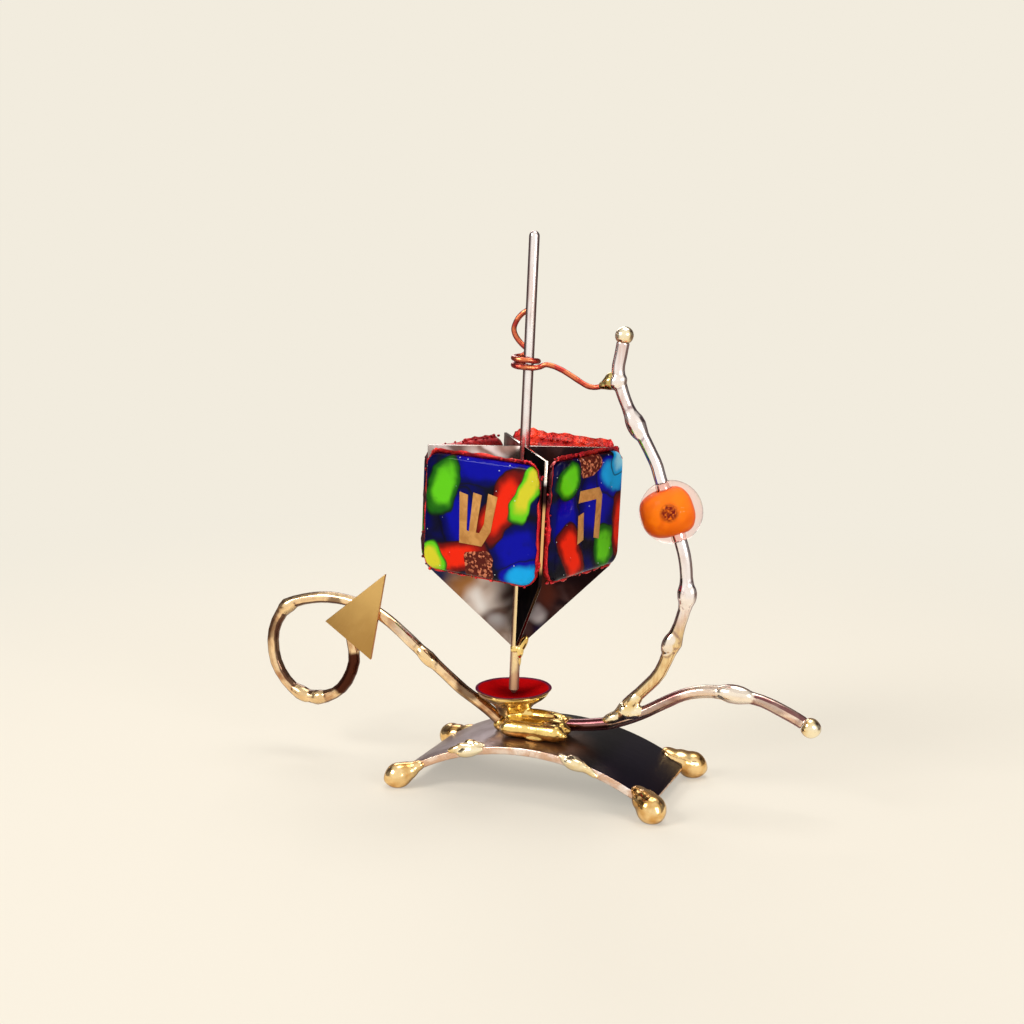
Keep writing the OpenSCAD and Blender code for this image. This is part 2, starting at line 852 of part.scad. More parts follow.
// Least free gap between the guide wire's turns, measured on its swept points. Points nearer
// along the wire than wire_skip steps belong to one bend
wire_path = spline(wire_points, route_steps);
wire_skip = 9;
wire_gaps = [
    for (i = [0:len(wire_path) - 1])
        for (j = [i + wire_skip:1:len(wire_path) - 1])
            norm(wire_path[i] - wire_path[j]) - wire_d
];
echo(wire_least_gap = min(wire_gaps));

base_plate();
foot(0);  // foot_front_left
foot(1);  // foot_front_right
foot(2);  // foot_back_left
foot(3);  // foot_back_right
edge_drops();
brazed_ridges();
cup_neck();
cup();
main_arm();
main_arm_ball();
upright_arm();
upright_arm_ball();
upright_joint();
scroll_arm();
scroll_joint();
arrow_head();
arrow_joint();
bead_glass();
bead_core();
wire_guide();
wire_joint();
stem();
stem_drop();
fin(0);  // fin_right
fin(1);  // fin_far
fin(2);  // fin_left
fin(3);  // fin_near
foil(0, 0.5);  // foil_shin
foil(1, 0.6);  // foil_hei
foil(2, 1.3);  // foil_gimel
foil(3, 0.4);  // foil_nun
tile(0, "#1a1f9a");  // tile_shin
tile(1, "#2a7ae0");  // tile_hei
tile(2, "#3fae2a");  // tile_gimel
tile(3, "#d8301e");  // tile_nun
letter(0, shin_shares);  // letter_shin
letter(1, hei_shares);  // letter_hei
letter(2, gimel_shares);  // letter_gimel
letter(3, nun_shares);  // letter_nun
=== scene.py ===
import math
import random
import bmesh
import bpy
from mathutils import Matrix, Vector, noise


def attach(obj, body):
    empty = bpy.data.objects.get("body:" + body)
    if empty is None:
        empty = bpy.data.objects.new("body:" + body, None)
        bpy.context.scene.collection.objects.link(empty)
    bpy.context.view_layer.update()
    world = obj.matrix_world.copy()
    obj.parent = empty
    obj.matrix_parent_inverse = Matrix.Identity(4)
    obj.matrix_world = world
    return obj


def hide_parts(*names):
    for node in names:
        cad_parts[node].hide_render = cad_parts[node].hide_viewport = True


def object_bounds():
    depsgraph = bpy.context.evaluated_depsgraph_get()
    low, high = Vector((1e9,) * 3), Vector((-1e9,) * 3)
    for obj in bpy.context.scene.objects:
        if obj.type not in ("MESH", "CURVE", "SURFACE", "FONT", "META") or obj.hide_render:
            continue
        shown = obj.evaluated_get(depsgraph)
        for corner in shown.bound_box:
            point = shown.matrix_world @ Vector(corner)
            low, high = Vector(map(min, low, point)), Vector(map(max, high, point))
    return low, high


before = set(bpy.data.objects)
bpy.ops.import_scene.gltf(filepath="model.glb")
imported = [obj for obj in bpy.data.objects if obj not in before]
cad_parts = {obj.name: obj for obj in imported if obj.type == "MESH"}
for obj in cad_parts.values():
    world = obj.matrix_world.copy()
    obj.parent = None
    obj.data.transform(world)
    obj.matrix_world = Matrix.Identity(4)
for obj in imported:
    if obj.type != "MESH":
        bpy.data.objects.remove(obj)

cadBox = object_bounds()
mm = 0.001
frontward = (0.368, -0.914, 0.166)  # the way the piece's front faces
print("dreidel: frame loaded,", len(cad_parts), "nodes")


# A Flow is a shader socket that can be added, multiplied and blended
class Flow:
    def __init__(self, sheet, socket):
        self.sheet = sheet
        self.socket = socket

    def maths(self, operation, *values):
        return self.sheet.add("ShaderNodeMath", {"operation": operation}, dict(enumerate(values)))

    def __add__(self, other):
        return self.maths("ADD", self, other)

    def __radd__(self, other):
        return self.maths("ADD", other, self)

    def __sub__(self, other):
        return self.maths("SUBTRACT", self, other)

    def __rsub__(self, other):
        return self.maths("SUBTRACT", other, self)

    def __mul__(self, other):
        return self.maths("MULTIPLY", self, other)

    def __rmul__(self, other):
        return self.maths("MULTIPLY", other, self)

    def __truediv__(self, other):
        return self.maths("DIVIDE", self, other)

    def __rtruediv__(self, other):
        return self.maths("DIVIDE", other, self)

    def __pow__(self, other):
        return self.maths("POWER", self, other)

    def __abs__(self):
        return self.maths("ABSOLUTE", self)

    def most(self, other):
        return self.maths("MAXIMUM", self, other)

    def rise(self, low, high):  # 0 up to low, 1 from high on, smooth between
        values = {0: self, 1: low, 2: high}
        return self.sheet.add("ShaderNodeMapRange", {"interpolation_type": "SMOOTHSTEP"}, values)


# A Sheet is the nodes of one material, or of the world
class Sheet:
    def __init__(self, name, world=False):
        self.owner = bpy.data.worlds.new(name) if world else bpy.data.materials.new(name)
        self.owner.use_nodes = True
        self.tree = self.owner.node_tree
        self.tree.nodes.clear()

    def add(self, kind, settings=None, sockets=None, out=0):
        node = self.tree.nodes.new(kind)
        for key, value in (settings or {}).items():
            setattr(node, key, value)
        for key, value in (sockets or {}).items():
            if isinstance(value, Flow):
                self.tree.links.new(value.socket, node.inputs[key])
            elif node.inputs[key].type == "RGBA":
                node.inputs[key].default_value = (*value, 1.0)
            else:
                node.inputs[key].default_value = value
        return Flow(self, node.outputs[out]) if len(node.outputs) else None

    def vector(self, operation, *values):
        out = "Value" if operation in ("LENGTH", "DISTANCE", "DOT_PRODUCT") else "Vector"
        return self.add("ShaderNodeVectorMath", {"operation": operation}, dict(enumerate(values)), out)

    def place(self):  # the piece's own coordinates, in millimetres
        here = self.add("ShaderNodeTexCoord", out="Object")
        return self.vector("MULTIPLY", here, (1000.0, 1000.0, 1000.0))

    def facing(self):  # the surface's normal
        return self.add("ShaderNodeNewGeometry", out="Normal")

    def rays(self, *kinds):  # 1 for rays of each kind
        return [self.add("ShaderNodeLightPath", out=kind) for kind in kinds]

    def axis(self, vector, letter):
        return self.add("ShaderNodeSeparateXYZ", None, {0: vector}, letter)

    def stretch(self, vector, size, turn=(0.0, 0.0, 0.0), start=(0.0, 0.0, 0.0)):
        values = {0: vector, 1: start, 2: turn, 3: size}
        return self.add("ShaderNodeMapping", {"vector_type": "TEXTURE"}, values)

    def cloud(self, vector, scale, detail=3.0, rough=0.5, warp=0.0, out=0):
        return self.add(
            "ShaderNodeTexNoise", None,
            {"Vector": vector, "Scale": scale, "Detail": detail, "Roughness": rough, "Distortion": warp}, out
        )

    def cells(self, vector, scale, out="Distance"):
        return self.add("ShaderNodeTexVoronoi", None, {"Vector": vector, "Scale": scale}, out)

    def blend(self, share, first, second):  # colours
        return self.add("ShaderNodeMix", {"data_type": "RGBA"}, {0: share, 6: first, 7: second}, 2)

    def mix(self, share, first, second):  # shaders
        return self.add("ShaderNodeMixShader", None, {0: share, 1: first, 2: second})

    def near(self, vector, point, inner, outer):  # 1 within inner of a point, 0 beyond outer
        return 1 - self.vector("DISTANCE", vector, point).rise(inner, outer)

    def outline(self, low, high):  # 1 where the surface turns away from both the front and the back
        return 1 - abs(self.vector("DOT_PRODUCT", self.facing(), frontward)).rise(low, high)

    def bumps(self, height, depth, strength=1.0):
        values = {"Strength": strength, "Distance": depth * mm, "Height": height}
        return self.add("ShaderNodeBump", None, values)

    def finish(self, **sockets):
        names = {
            "colour": "Base Color", "metal": "Metallic", "rough": "Roughness", "normal": "Normal",
            "coat": "Coat Weight", "coatRough": "Coat Roughness", "through": "Transmission Weight",
            "bend": "IOR", "specular": "Specular IOR Level",
        }
        values = {names[key]: value for key, value in sockets.items()}
        surface = self.add("ShaderNodeBsdfPrincipled", None, values)
        self.add("ShaderNodeOutputMaterial", None, {0: surface})
        return self.owner


# Finishes: places in millimetres, a spot as its middle, its inner and outer reach and its strength or tone

brassLooks = {  # the brazing, the feet, the pale drops and balls, and the wire's joint; edge is how strong the painted shade at their rims is
    "brass": {
        "bright": (0.94, 0.69, 0.25), "dull": (0.66, 0.42, 0.12), "dark": (0.18, 0.08, 0.02), "edge": 0.65,
        "dishShade": ((-6.2, -5.4, 20.6), 3.5, 7.5, (0.2, 0.07, 0.035)),  # painted shade under the dish
    },
    "foot": {
        "bright": (0.96, 0.7, 0.34), "dull": (0.74, 0.42, 0.13), "dark": (0.26, 0.11, 0.03), "edge": 0.75,
    },
    "cream": {
        "bright": (0.99, 0.88, 0.62), "dull": (0.92, 0.7, 0.34), "dark": (0.3, 0.12, 0.07), "edge": 0.75,
    },
    "olive": {
        "bright": (0.8, 0.64, 0.26), "dull": (0.48, 0.34, 0.1), "dark": (0.12, 0.06, 0.02), "edge": 0.6,
    },
}


def moltenBrass(name, tones="brass", relief=0.5):
    look = brassLooks[tones]
    s = Sheet(name)
    p = s.place()
    soft = s.cloud(p, 0.22)
    fine = s.cloud(p, 1.1, 3.0, 0.5, 0.4)
    colour = s.blend(soft.rise(0.42, 0.66), look["bright"], look["dull"])
    colour = s.blend(fine.rise(0.62, 0.8) * 0.35, colour, look["dark"])
    # painted shade: darker where the surface turns away from the front and back, towards the rims
    edge = s.outline(0.12, 0.62) * look["edge"]
    colour = s.blend(edge, colour, look["dark"])
    # a painted shadow under the dish
    if "dishShade" in look:
        middle, inner, outer, tone = look["dishShade"]
        colour = s.blend(s.near(p, middle, inner, outer) * 0.9, colour, tone)
    return s.finish(
        colour=colour, metal=1 - edge * 0.55, rough=fine.rise(0.4, 0.8) * 0.14 + 0.11,
        normal=s.bumps(soft * 0.9 + fine * 0.12, 0.5, relief), specular=0.3
    )


rodLit = (1.0, 0.9, 0.72)
rodLooks = {  # outline, under and band say how much painted shade darkens the rod's edge and underside, and how strong a painted dark reflection along its upper side is
    "main_arm": {
        "light": (1.0, 0.82, 0.66), "deep": (0.66, 0.38, 0.28), "dark": (0.15, 0.04, 0.05),
        "drop": (1.0, 0.92, 0.78), "along": (6.0, 0.5, 1.2),
        "outline": 0.95, "under": 1.0, "band": (0.5, 0.8, 0.75),
        "lit": [((50.5, 0.0, 28.6), 2.0, 7.0)],
        "burnt": [
            ((20.0, 0.0, 16.2), 4.0, 8.5, 0.9), ((38.0, -1.0, 24.6), 3.0, 9.0, 0.6),
            ((66.0, -0.5, 26.2), 1.0, 6.0, 0.45), ((73.0, 0.0, 23.5), 0.6, 2.4, 0.8),
        ],
    },
    "upright_arm": {
        "light": (0.99, 0.92, 0.9), "deep": (0.85, 0.66, 0.6), "dark": (0.2, 0.085, 0.12),
        "drop": (1.0, 0.93, 0.88), "along": (0.9, 0.5, 6.0),
        "outline": 1.0, "under": 0.25,
        "lit": [((27.4, 0.0, 102.4), 1.0, 3.2)],
        "burnt": [((40.2, 0.0, 36.0), 0.4, 2.2, 0.7), ((47.2, 0.0, 50.4), 0.2, 2.0, 0.6)],
        "low": (44.0, (0.97, 0.76, 0.42), (0.7, 0.44, 0.2)),
    },
    "scroll_arm": {
        "light": (0.98, 0.71, 0.41), "deep": (0.5, 0.24, 0.11), "dark": (0.07, 0.02, 0.011),
        "drop": (0.93, 0.68, 0.36), "along": (3.0, 0.5, 3.0),
        "outline": 1.15, "under": 0.45,
        "lit": [((-31.0, 0.0, 34.6), 1.0, 6.0)],
        "burnt": [
            ((-46.0, 0.0, 22.0), 4.5, 8.5, 1.0), ((-12.0, 1.0, 22.6), 2.0, 6.0, 0.8),
            ((-50.5, 0.0, 41.0), 1.0, 4.5, 0.7), ((-70.0, 0.0, 33.0), 1.0, 5.0, 0.6),
        ],
        "loop": (-58.0, 0.0, 28.4),
    },
}

# Drops of brass left on the rods: middle, radius, length in radii and turn about Y
rodDrops = {
    "main_arm": [(57.4, -0.3, 28.3, 2.3, 2.2, 0.06)],
    "upright_arm": [
        (41.2, -0.4, 39.3, 2.0, 1.75, -1.15), (45.5, -0.3, 51.4, 2.0, 1.65, -1.4),
        (31.5, -0.2, 92.3, 2.2, 2.0, 1.12), (26.9, -0.2, 102.5, 1.95, 1.3, -0.5),
    ],
    "scroll_arm": [
        (-24.2, -0.3, 29.3, 1.85, 2.2, 0.75), (-65.4, -0.2, 39.3, 2.0, 1.6, -0.5),
        (-61.5, -0.2, 15.3, 2.05, 1.6, 0.45), (-56.4, -0.2, 14.9, 1.95, 1.5, -0.2),
    ],
}


def rodShade(s, p, broad, look):  # painted shade: how far the rod is darkened by the way it faces, with some random mottle
    facing = s.facing()
    up = s.axis(facing, "Z")
    shade = s.outline(0.15, 0.75) * look["outline"] + (0.0 - up).rise(0.0, 0.9) * look["under"]
    shade = shade + (broad - 0.5) * 0.9
    if "band" in look:  # a painted dark reflection along the upper side
        low, high, strength = look["band"]
        shade = shade + up.rise(low - 0.15, low) * (1 - up.rise(high, high + 0.12)) * strength
    if "loop" in look:  # painted shade on the side facing the loop's middle
        inward = s.vector("NORMALIZE", s.vector("SUBTRACT", look["loop"], p))
        inner = s.vector("DOT_PRODUCT", inward, facing)
        shade = shade + inner.rise(0.1, 0.8) * s.near(p, look["loop"], 16.0, 20.0)
    return shade.rise(0.3, 0.75) * 0.9


def bentRod(name):
    look = rodLooks[name]
    s = Sheet("bentRod." + name)
    p = s.place()
    broad = s.cloud(p, 0.2, 2.0)
    ragged = s.cloud(p, 0.8, 3.0, 0.5, 0.5)
    streaks = s.cloud(s.stretch(p, look["along"]), 1.0, 3.0, 0.6)
    tone = (streaks * 0.5 + broad * 0.5).rise(0.4, 0.68)
    colour = s.blend(tone, look["light"], look["deep"])
    if "low" in look:  # golden towards the foot
        height, light, deep = look["low"]
        foot = 1 - (s.axis(p, "Z") + broad * 6.0).rise(height, height + 9.0)
        colour = s.blend(foot, colour, s.blend(tone, light, deep))
    # painted shade at the rod's edges, underside and loop, and a painted dark reflection along the upper
    # side
    edge = rodShade(s, p, broad, look)
    colour = s.blend(edge, colour, look["dark"])
    for middle, inner, outer, strength in look["burnt"]:
        here = (s.near(p, middle, inner, outer) + (ragged - 0.5) * 0.5).rise(0.2, 0.7)
        colour = s.blend(here * strength, colour, look["dark"])
    for middle, inner, outer in look["lit"]:
        colour = s.blend(s.near(p, middle, inner, outer) * 0.5, colour, rodLit)
    for x, y, z, radius, length, turn in rodDrops[name]:
        inside = s.stretch(p, (radius * length, radius, radius), (0.0, turn, 0.0), (x, y, z))
        far = s.vector("LENGTH", inside)
        # painted highlight: each drop's front is paler; the seam round it is a dark oxide line
        bright = (1 - far.rise(1.02, 1.1)) * (1 - s.outline(0.25, 0.75))
        colour = s.blend(bright * 0.7, colour, look["drop"])
        seam = far.rise(1.05, 1.14) * (1 - far.rise(1.16, 1.3))
        colour = s.blend(seam * 0.6 * ragged.rise(0.42, 0.6), colour, look["dark"])
    return s.finish(
        colour=colour, metal=1 - edge * 0.4, rough=streaks * 0.12 + 0.08,
        normal=s.bumps(broad * 0.6 + streaks * 0.08, 0.25, 0.3), specular=0.3
    )


plateLook = {
    "mauve": ((0.42, 0.35, 0.37), (0.27, 0.2, 0.2)), "black": ((0.003, 0.002, 0.004), (0.014, 0.01, 0.022)),
    "browned": (0.03, 0.014, 0.02), "warm": ((10.0, -8.0, 12.0), 4.0, 17.0, (0.3, 0.13, 0.06)),
    "scratch": (0.4, 0.3, 0.28),
    "edgeLeft": (0.92, 0.74, 0.62), "edgeRight": (1.0, 0.9, 0.86), "edgeDeep": (0.76, 0.5, 0.36),
    "edgeBurnt": (0.24, 0.1, 0.08), "bevel": 0.35,
}


def darkPlate():  # mauve at the left, black past the brazing and browned at the right end
    look = plateLook
    s = Sheet("darkPlate")
    p = s.place()
    x = s.axis(p, "X")
    broad = s.cloud(p, 0.09, 4.0, 0.55, 0.8)
    fine = s.cloud(s.stretch(p, (3.0, 0.5, 3.0)), 1.2, 4.0, 0.65)
    left = (x + broad * 14.0 - 7.0).rise(-4.0, 6.0)
    mauve = s.blend(broad.rise(0.35, 0.65), *look["mauve"])
    black = s.blend((x + broad * 8.0).rise(27.0, 34.0), *look["black"])
    black = s.blend((x + broad * 10.0).rise(40.0, 52.0) * 0.7, black, look["browned"])
    colour = s.blend(left, mauve, black)
    middle, inner, outer, tone = look["warm"]
    colour = s.blend(s.near(p, middle, inner, outer) * broad, colour, tone)
    colour = s.blend(fine.rise(0.62, 0.8) * 0.14, colour, look["scratch"])
    return s.finish(
        colour=colour, metal=0.75, rough=fine * 0.2 + 0.26,
        normal=s.bumps(broad * 0.8 + fine * 0.3, 0.25, 0.4), specular=0.15
    )


def plateEdge():
    look = plateLook
    s = Sheet("plateEdge")
    p = s.place()
    broad = s.cloud(p, 0.22, 4.0, 0.6, 0.7)
    fine = s.cloud(p, 1.5, 4.0, 0.6)
    light = s.blend(s.axis(p, "X").rise(-20.0, 30.0), look["edgeLeft"], look["edgeRight"])
    colour = s.blend(broad.rise(0.38, 0.62), light, look["edgeDeep"])
    colour = s.blend(fine.rise(0.6, 0.8) * 0.4, colour, look["edgeBurnt"])
    return s.finish(
        colour=colour, metal=1.0, rough=fine * 0.2 + 0.14, normal=s.bumps(broad + fine * 0.3, 0.4, 0.6)
    )


cupLook = {
    "radius": 9.75, "floor": 22.16, "rise": 1.7, "wall": 0.5, "rim": 0.18,
    "wave": 0.28, "waveScale": 0.16, "steps": 12,
    "middle": (0.16, 0.001, 0.002), "red": (0.46, 0.003, 0.004), "rimTone": (0.12, 0.02, 0.05),
    "outside": ((0.6, 0.34, 0.14), (0.2, 0.07, 0.045)),
}


def flameCup():
    look = cupLook
    s = Sheet("flameCup")
    p = s.place()
    out = s.vector("LENGTH", s.vector("MULTIPLY", p, (1.0, 1.0, 0.0)))
    broad = s.cloud(p, 0.25, 4.0, 0.6, 1.0)
    inside = s.blend((out + broad * 5.0).rise(4.0, 11.0), look["middle"], look["red"])
    inside = s.blend((out + broad * 1.2).rise(9.3, 9.9), inside, look["rimTone"])
    upward = s.axis(s.facing(), "Z").rise(-0.15, 0.1)
    outside = s.blend(broad.rise(0.4, 0.62), *look["outside"])
    return s.finish(
        colour=s.blend(upward, outside, inside), metal=1 - upward, rough=broad * 0.3 + 0.3,
        normal=s.bumps(broad, 0.3, 0.5), specular=0.0
    )


wireLook = {
    "light": (0.82, 0.25, 0.1), "deep": (0.55, 0.06, 0.045), "burnt": (0.16, 0.02, 0.02),
    "shade": (0.22, 0.008, 0.025), "relief": (0.6, 0.05),
    # The CAD ring's middle, height and pitch, its first and last angle, and its reach to the lead
    "middle": 3.232, "height": 105.7, "pitch": 2.6, "first": 15.0, "last": 600.0, "reach": 4.2,
    "closer": 0.85,  # how much nearer each turn lies to the last one
}


def copperWire():
    look = wireLook
    s = Sheet("copperWire")
    p = s.place()
    broad = s.cloud(p, 0.3, 3.0, 0.6, 0.5)
    fine = s.cloud(p, 2.2)
    colour = s.blend(broad.rise(0.36, 0.64), look["light"], look["deep"])
    colour = s.blend(fine.rise(0.6, 0.8) * 0.6, colour, look["burnt"])
    under = (0.0 - s.axis(s.facing(), "Z")).rise(-0.2, 0.6) * 0.8
    edge = s.outline(0.3, 0.85).most(under)
    colour = s.blend(edge * 0.85, colour, look["shade"])
    return s.finish(
        colour=colour, metal=1 - edge * 0.4, rough=fine * 0.2 + 0.14, normal=s.bumps(fine, 0.1, 0.4),
        specular=0.3
    )


foilLook = {
    "shin": ((0.86, 0.04, 0.028), (0.6, 0.008, 0.018)),  # light and deep red
    "hei": ((0.86, 0.04, 0.032), (0.6, 0.008, 0.022)),
    "gimel": ((0.8, 0.035, 0.006), (0.45, 0.006, 0.006)),
    "nun": ((0.66, 0.02, 0.022), (0.4, 0.006, 0.014)),
    "burnt": (0.16, 0.012, 0.018), "side": (0.03, 0.004, 0.008),
    "frontCorner": ((15.0, -19.0, 63.0), 9.0, 13.0),  # stays bright to its side
    "relief": (1.1, 0.55), "stiff": 0.15,  # the part behind the glass moves little
    "lap": -0.9, "loose": -0.6,  # in front of these depths the lap is cut finer and moves freely
    "beads": 46, "beadSize": (0.22, 0.5), "beadWide": (0.9, 1.9), "beadHigh": (0.8, 1.2),
    "beadOut": 0.25, "beadSpan": 0.92, "lipDepth": (0.6, 2.0), "lipAbove": 0.3,
    "tear": 0.85, "tearStart": -3.0, "tearEnd": 2.0,
}


def foilCopper(face, turn):
    look = foilLook
    s = Sheet("foilCopper." + face)
    p = s.place()
    broad = s.cloud(p, 0.16, 3.0, 0.6, 1.2)
    fine = s.cloud(p, 0.8, 4.0, 0.65, 0.8)
    colour = s.blend(broad.rise(0.36, 0.62), *look[face])
    colour = s.blend(fine.rise(0.55, 0.72) * 0.7, colour, look["burnt"])
    # painted shade: the foil's sides, in the corners between tiles, are darkened nearly to black except near
    # the front corner
    along = s.vector("DOT_PRODUCT", s.facing(), (math.cos(turn), math.sin(turn), 0.0))
    side = abs(along).rise(0.45, 0.85) * (1 - s.near(p, *look["frontCorner"]))
    colour = s.blend(side * 0.95, colour, look["side"])
    return s.finish(
        colour=colour, metal=0.7, rough=fine * 0.3 + 0.2, normal=s.bumps(fine + broad, 0.5, 0.9), coat=0.12,
        coatRough=0.15
    )


finLooks = {  # each fin's spots of heat colour, painted reflection and painted shade on the polished steel, each with its middle, reach and tone
    "fin_left": {
        "light": (0.62, 0.55, 0.53), "deep": (0.26, 0.19, 0.16), "tint": (0.1, 0.05, 0.04),
        "start": (0.0, 0.0, 0.0), "metal": 0.85,
        "heatAndPaintedLight": [
            ((-16.0, -11.0, 55.5), 2.0, 6.5, (0.01, 0.016, 0.07)),
            ((-9.5, -6.7, 50.0), 2.0, 7.5, (0.4, 0.17, 0.05)),
            ((-7.0, -5.0, 47.6), 1.5, 5.2, (0.93, 0.93, 0.96)),
            ((-3.6, -2.4, 41.0), 0.5, 4.0, (0.5, 0.5, 0.55)),
            ((-1.2, -0.8, 50.0), 1.0, 4.5, (0.06, 0.02, 0.015)),
        ],
    },
    # this fin is near black and not metallic: painted shade
    "fin_near": {
        "light": (0.004, 0.003, 0.004), "deep": (0.007, 0.005, 0.005), "tint": (0.002, 0.002, 0.002),
        "start": (5.0, 3.0, 0.0), "metal": 0.0, "heatAndPaintedLight": [],
    },
    # near black: painted shade, with spots of painted reflection
    "fin_right": {
        "light": (0.03, 0.011, 0.01), "deep": (0.06, 0.03, 0.03), "tint": (0.012, 0.006, 0.008),
        "start": (9.0, 1.0, 4.0), "metal": 0.25,
        "heatAndPaintedLight": [
            ((16.0, 9.5, 54.0), 2.0, 7.0, (0.008, 0.004, 0.005)),
            ((6.8, 3.6, 48.6), 1.0, 4.6, (0.09, 0.022, 0.014)),
            ((5.4, 2.6, 43.0), 0.4, 3.0, (0.42, 0.38, 0.4)),
            ((6.0, 3.1, 38.6), 0.6, 3.0, (0.012, 0.008, 0.05)),
        ],
    },
    "fin_far": {
        "light": (0.3, 0.25, 0.22), "deep": (0.14, 0.1, 0.09), "tint": (0.07, 0.035, 0.03),
        "start": (2.0, 8.0, 7.0), "metal": 0.9,
        "heatAndPaintedLight": [
            ((-7.0, 11.0, 50.0), 2.0, 8.0, (0.4, 0.17, 0.06)),
            ((-6.0, 9.0, 46.0), 1.0, 5.0, (0.1, 0.12, 0.3)),
        ],
    },
}


def heatedSteel(name):
    look = finLooks[name]
    s = Sheet(name + ".steel")
    p = s.place()
    broad = s.cloud(s.stretch(p, (1.0, 1.0, 1.6), start=look["start"]), 0.085, 3.0, 0.5, 1.0)
    band = s.cloud(s.stretch(p, (1.0, 1.0, 0.8), start=look["start"]), 0.15, 1.0, 0.4, 0.4)
    grind = s.cloud(s.stretch(p, (0.25, 0.25, 6.0)), 1.0, 3.0, 0.6)
    colour = s.blend(broad.rise(0.38, 0.6), look["light"], look["deep"])
    # soft blotches: painted shade in the tint, painted reflections in the light tone
    colour = s.blend(band.rise(0.46, 0.66) * 0.85, colour, look["tint"])
    colour = s.blend(band.rise(0.7, 0.8) * 0.4, colour, look["light"])
    drift = s.vector("SUBTRACT", s.cloud(p, 0.13, 1.0, 0.4, out="Color"), (0.5, 0.5, 0.5))
    stirred = s.vector("MULTIPLY_ADD", drift, (7.0, 7.0, 11.0), p)
    # spots of heat colour, painted reflections and painted shade
    for point, inner, outer, tone in look["heatAndPaintedLight"]:
        colour = s.blend(s.near(stirred, point, inner * 0.3, outer * 1.2) * 0.95, colour, tone)
    return s.finish(
        colour=colour, metal=look["metal"], rough=grind * 0.16 + 0.28,
        normal=s.bumps(grind * 0.2 + broad, 0.2, 0.35), specular=0.0
    )


steelStreak = (0.24, 0.1, 0.08)
finOutline = (0.25, 0.8, 0.6, (0.12, 0.05, 0.03))  # from, to, strength and tone of the painted shade at the edges
steelLooks = {  # bands: the tone below a height and its softness, from the top down
    "finEdge": {
        "light": (0.95, 0.9, 0.87), "deep": (0.8, 0.62, 0.5), "bands": [],
        "outline": finOutline,
    },
    "finEdgeNear": {
        "light": (0.95, 0.9, 0.87), "deep": (0.85, 0.68, 0.55),
        "bands": [
            (80.0, 1.0, (0.03, 0.012, 0.012)), (74.5, 2.0, (0.86, 0.5, 0.2)),
            (59.5, 2.0, (0.02, 0.01, 0.01)),
        ],
        "outline": finOutline,
    },
    "stemSteel": {  # less metallic near the cup, which it would mirror
        "light": (1.0, 0.97, 0.96), "deep": (0.92, 0.78, 0.74), "bands": [(64.0, 6.0, (0.98, 0.77, 0.43))],
        "outline": (0.58, 0.99, 0.88, (0.2, 0.09, 0.09)),
        "metal": {"above": 0.9, "below": 0.3, "height": 31.0},
    },
}


def polishedSteel(name):
    look = steelLooks[name]
    s = Sheet(name)
    p = s.place()
    z = s.axis(p, "Z")
    streaks = s.cloud(s.stretch(p, (0.5, 0.5, 9.0)), 1.2, 3.0, 0.6)
    broad = s.cloud(s.stretch(p, (4.0, 4.0, 10.0)), 1.0)
    colour = s.blend(broad.rise(0.4, 0.65), look["light"], look["deep"])
    colour = s.blend(streaks.rise(0.6, 0.76) * 0.5, colour, steelStreak)
    for height, soft, tone in look["bands"]:
        low = 1 - (z + broad * soft).rise(height - soft / 2, height + soft)
        colour = s.blend(low, colour, tone)
    # painted shade where the surface turns away from the front and back
    low, high, strength, tone = look["outline"]
    colour = s.blend(s.outline(low, high) * strength, colour, tone)
    metal = 1.0
    if "metal" in look:
        above, below, height = look["metal"].values()
        metal = z.rise(height - 3.0, height + 3.0) * (above - below) + below
    return s.finish(
        colour=colour, metal=metal, rough=streaks * 0.12 + 0.08, normal=s.bumps(streaks, 0.08, 0.3),
        specular=0.2
    )


arrowLook = {
    "light": (0.68, 0.43, 0.14), "deep": (0.44, 0.25, 0.07), "brushed": (0.78, 0.54, 0.24),
    "side": (0.55, 0.2, 0.09), "bevel": 0.16,
}


def brushedBrass():
    look = arrowLook
    s = Sheet("brushedBrass")
    p = s.place()
    brush = s.cloud(s.stretch(p, (0.12, 1.0, 5.0), turn=(0.0, 0.62, 0.0)), 1.0, 4.0, 0.7)
    broad = s.cloud(p, 0.13, 3.0, 0.5, 0.6)
    side = 1 - abs(s.axis(s.facing(), "Y")).rise(0.6, 0.9)
    down = 1 - s.axis(p, "Z").rise(27.0, 52.0)
    colour = s.blend((down * 0.7 + broad * 0.4).rise(0.2, 0.9), look["light"], look["deep"])
    colour = s.blend(brush.rise(0.5, 0.8) * 0.16, colour, look["brushed"])
    colour = s.blend(side * 0.7, colour, look["side"])
    return s.finish(colour=colour, metal=0.85, rough=brush * 0.2 + 0.3, normal=s.bumps(brush, 0.06, 0.4))


letterLook = {
    "gold": (0.62, 0.31, 0.085), "deep": (0.48, 0.21, 0.05), "worn": (0.8, 0.48, 0.17), "bevel": 0.05,
}


def gilding():
    look = letterLook
    s = Sheet("gilding")
    p = s.place()
    broad = s.cloud(p, 0.35, 4.0, 0.6, 0.5)
    fine = s.cloud(p, 2.6)
    colour = s.blend(broad.rise(0.38, 0.64), look["gold"], look["deep"])
    colour = s.blend(fine.rise(0.6, 0.8) * 0.3, colour, look["worn"])
    return s.finish(
        colour=colour, metal=0.25, rough=fine * 0.2 + 0.36, normal=s.bumps(fine, 0.05, 0.4), specular=0.3
    )


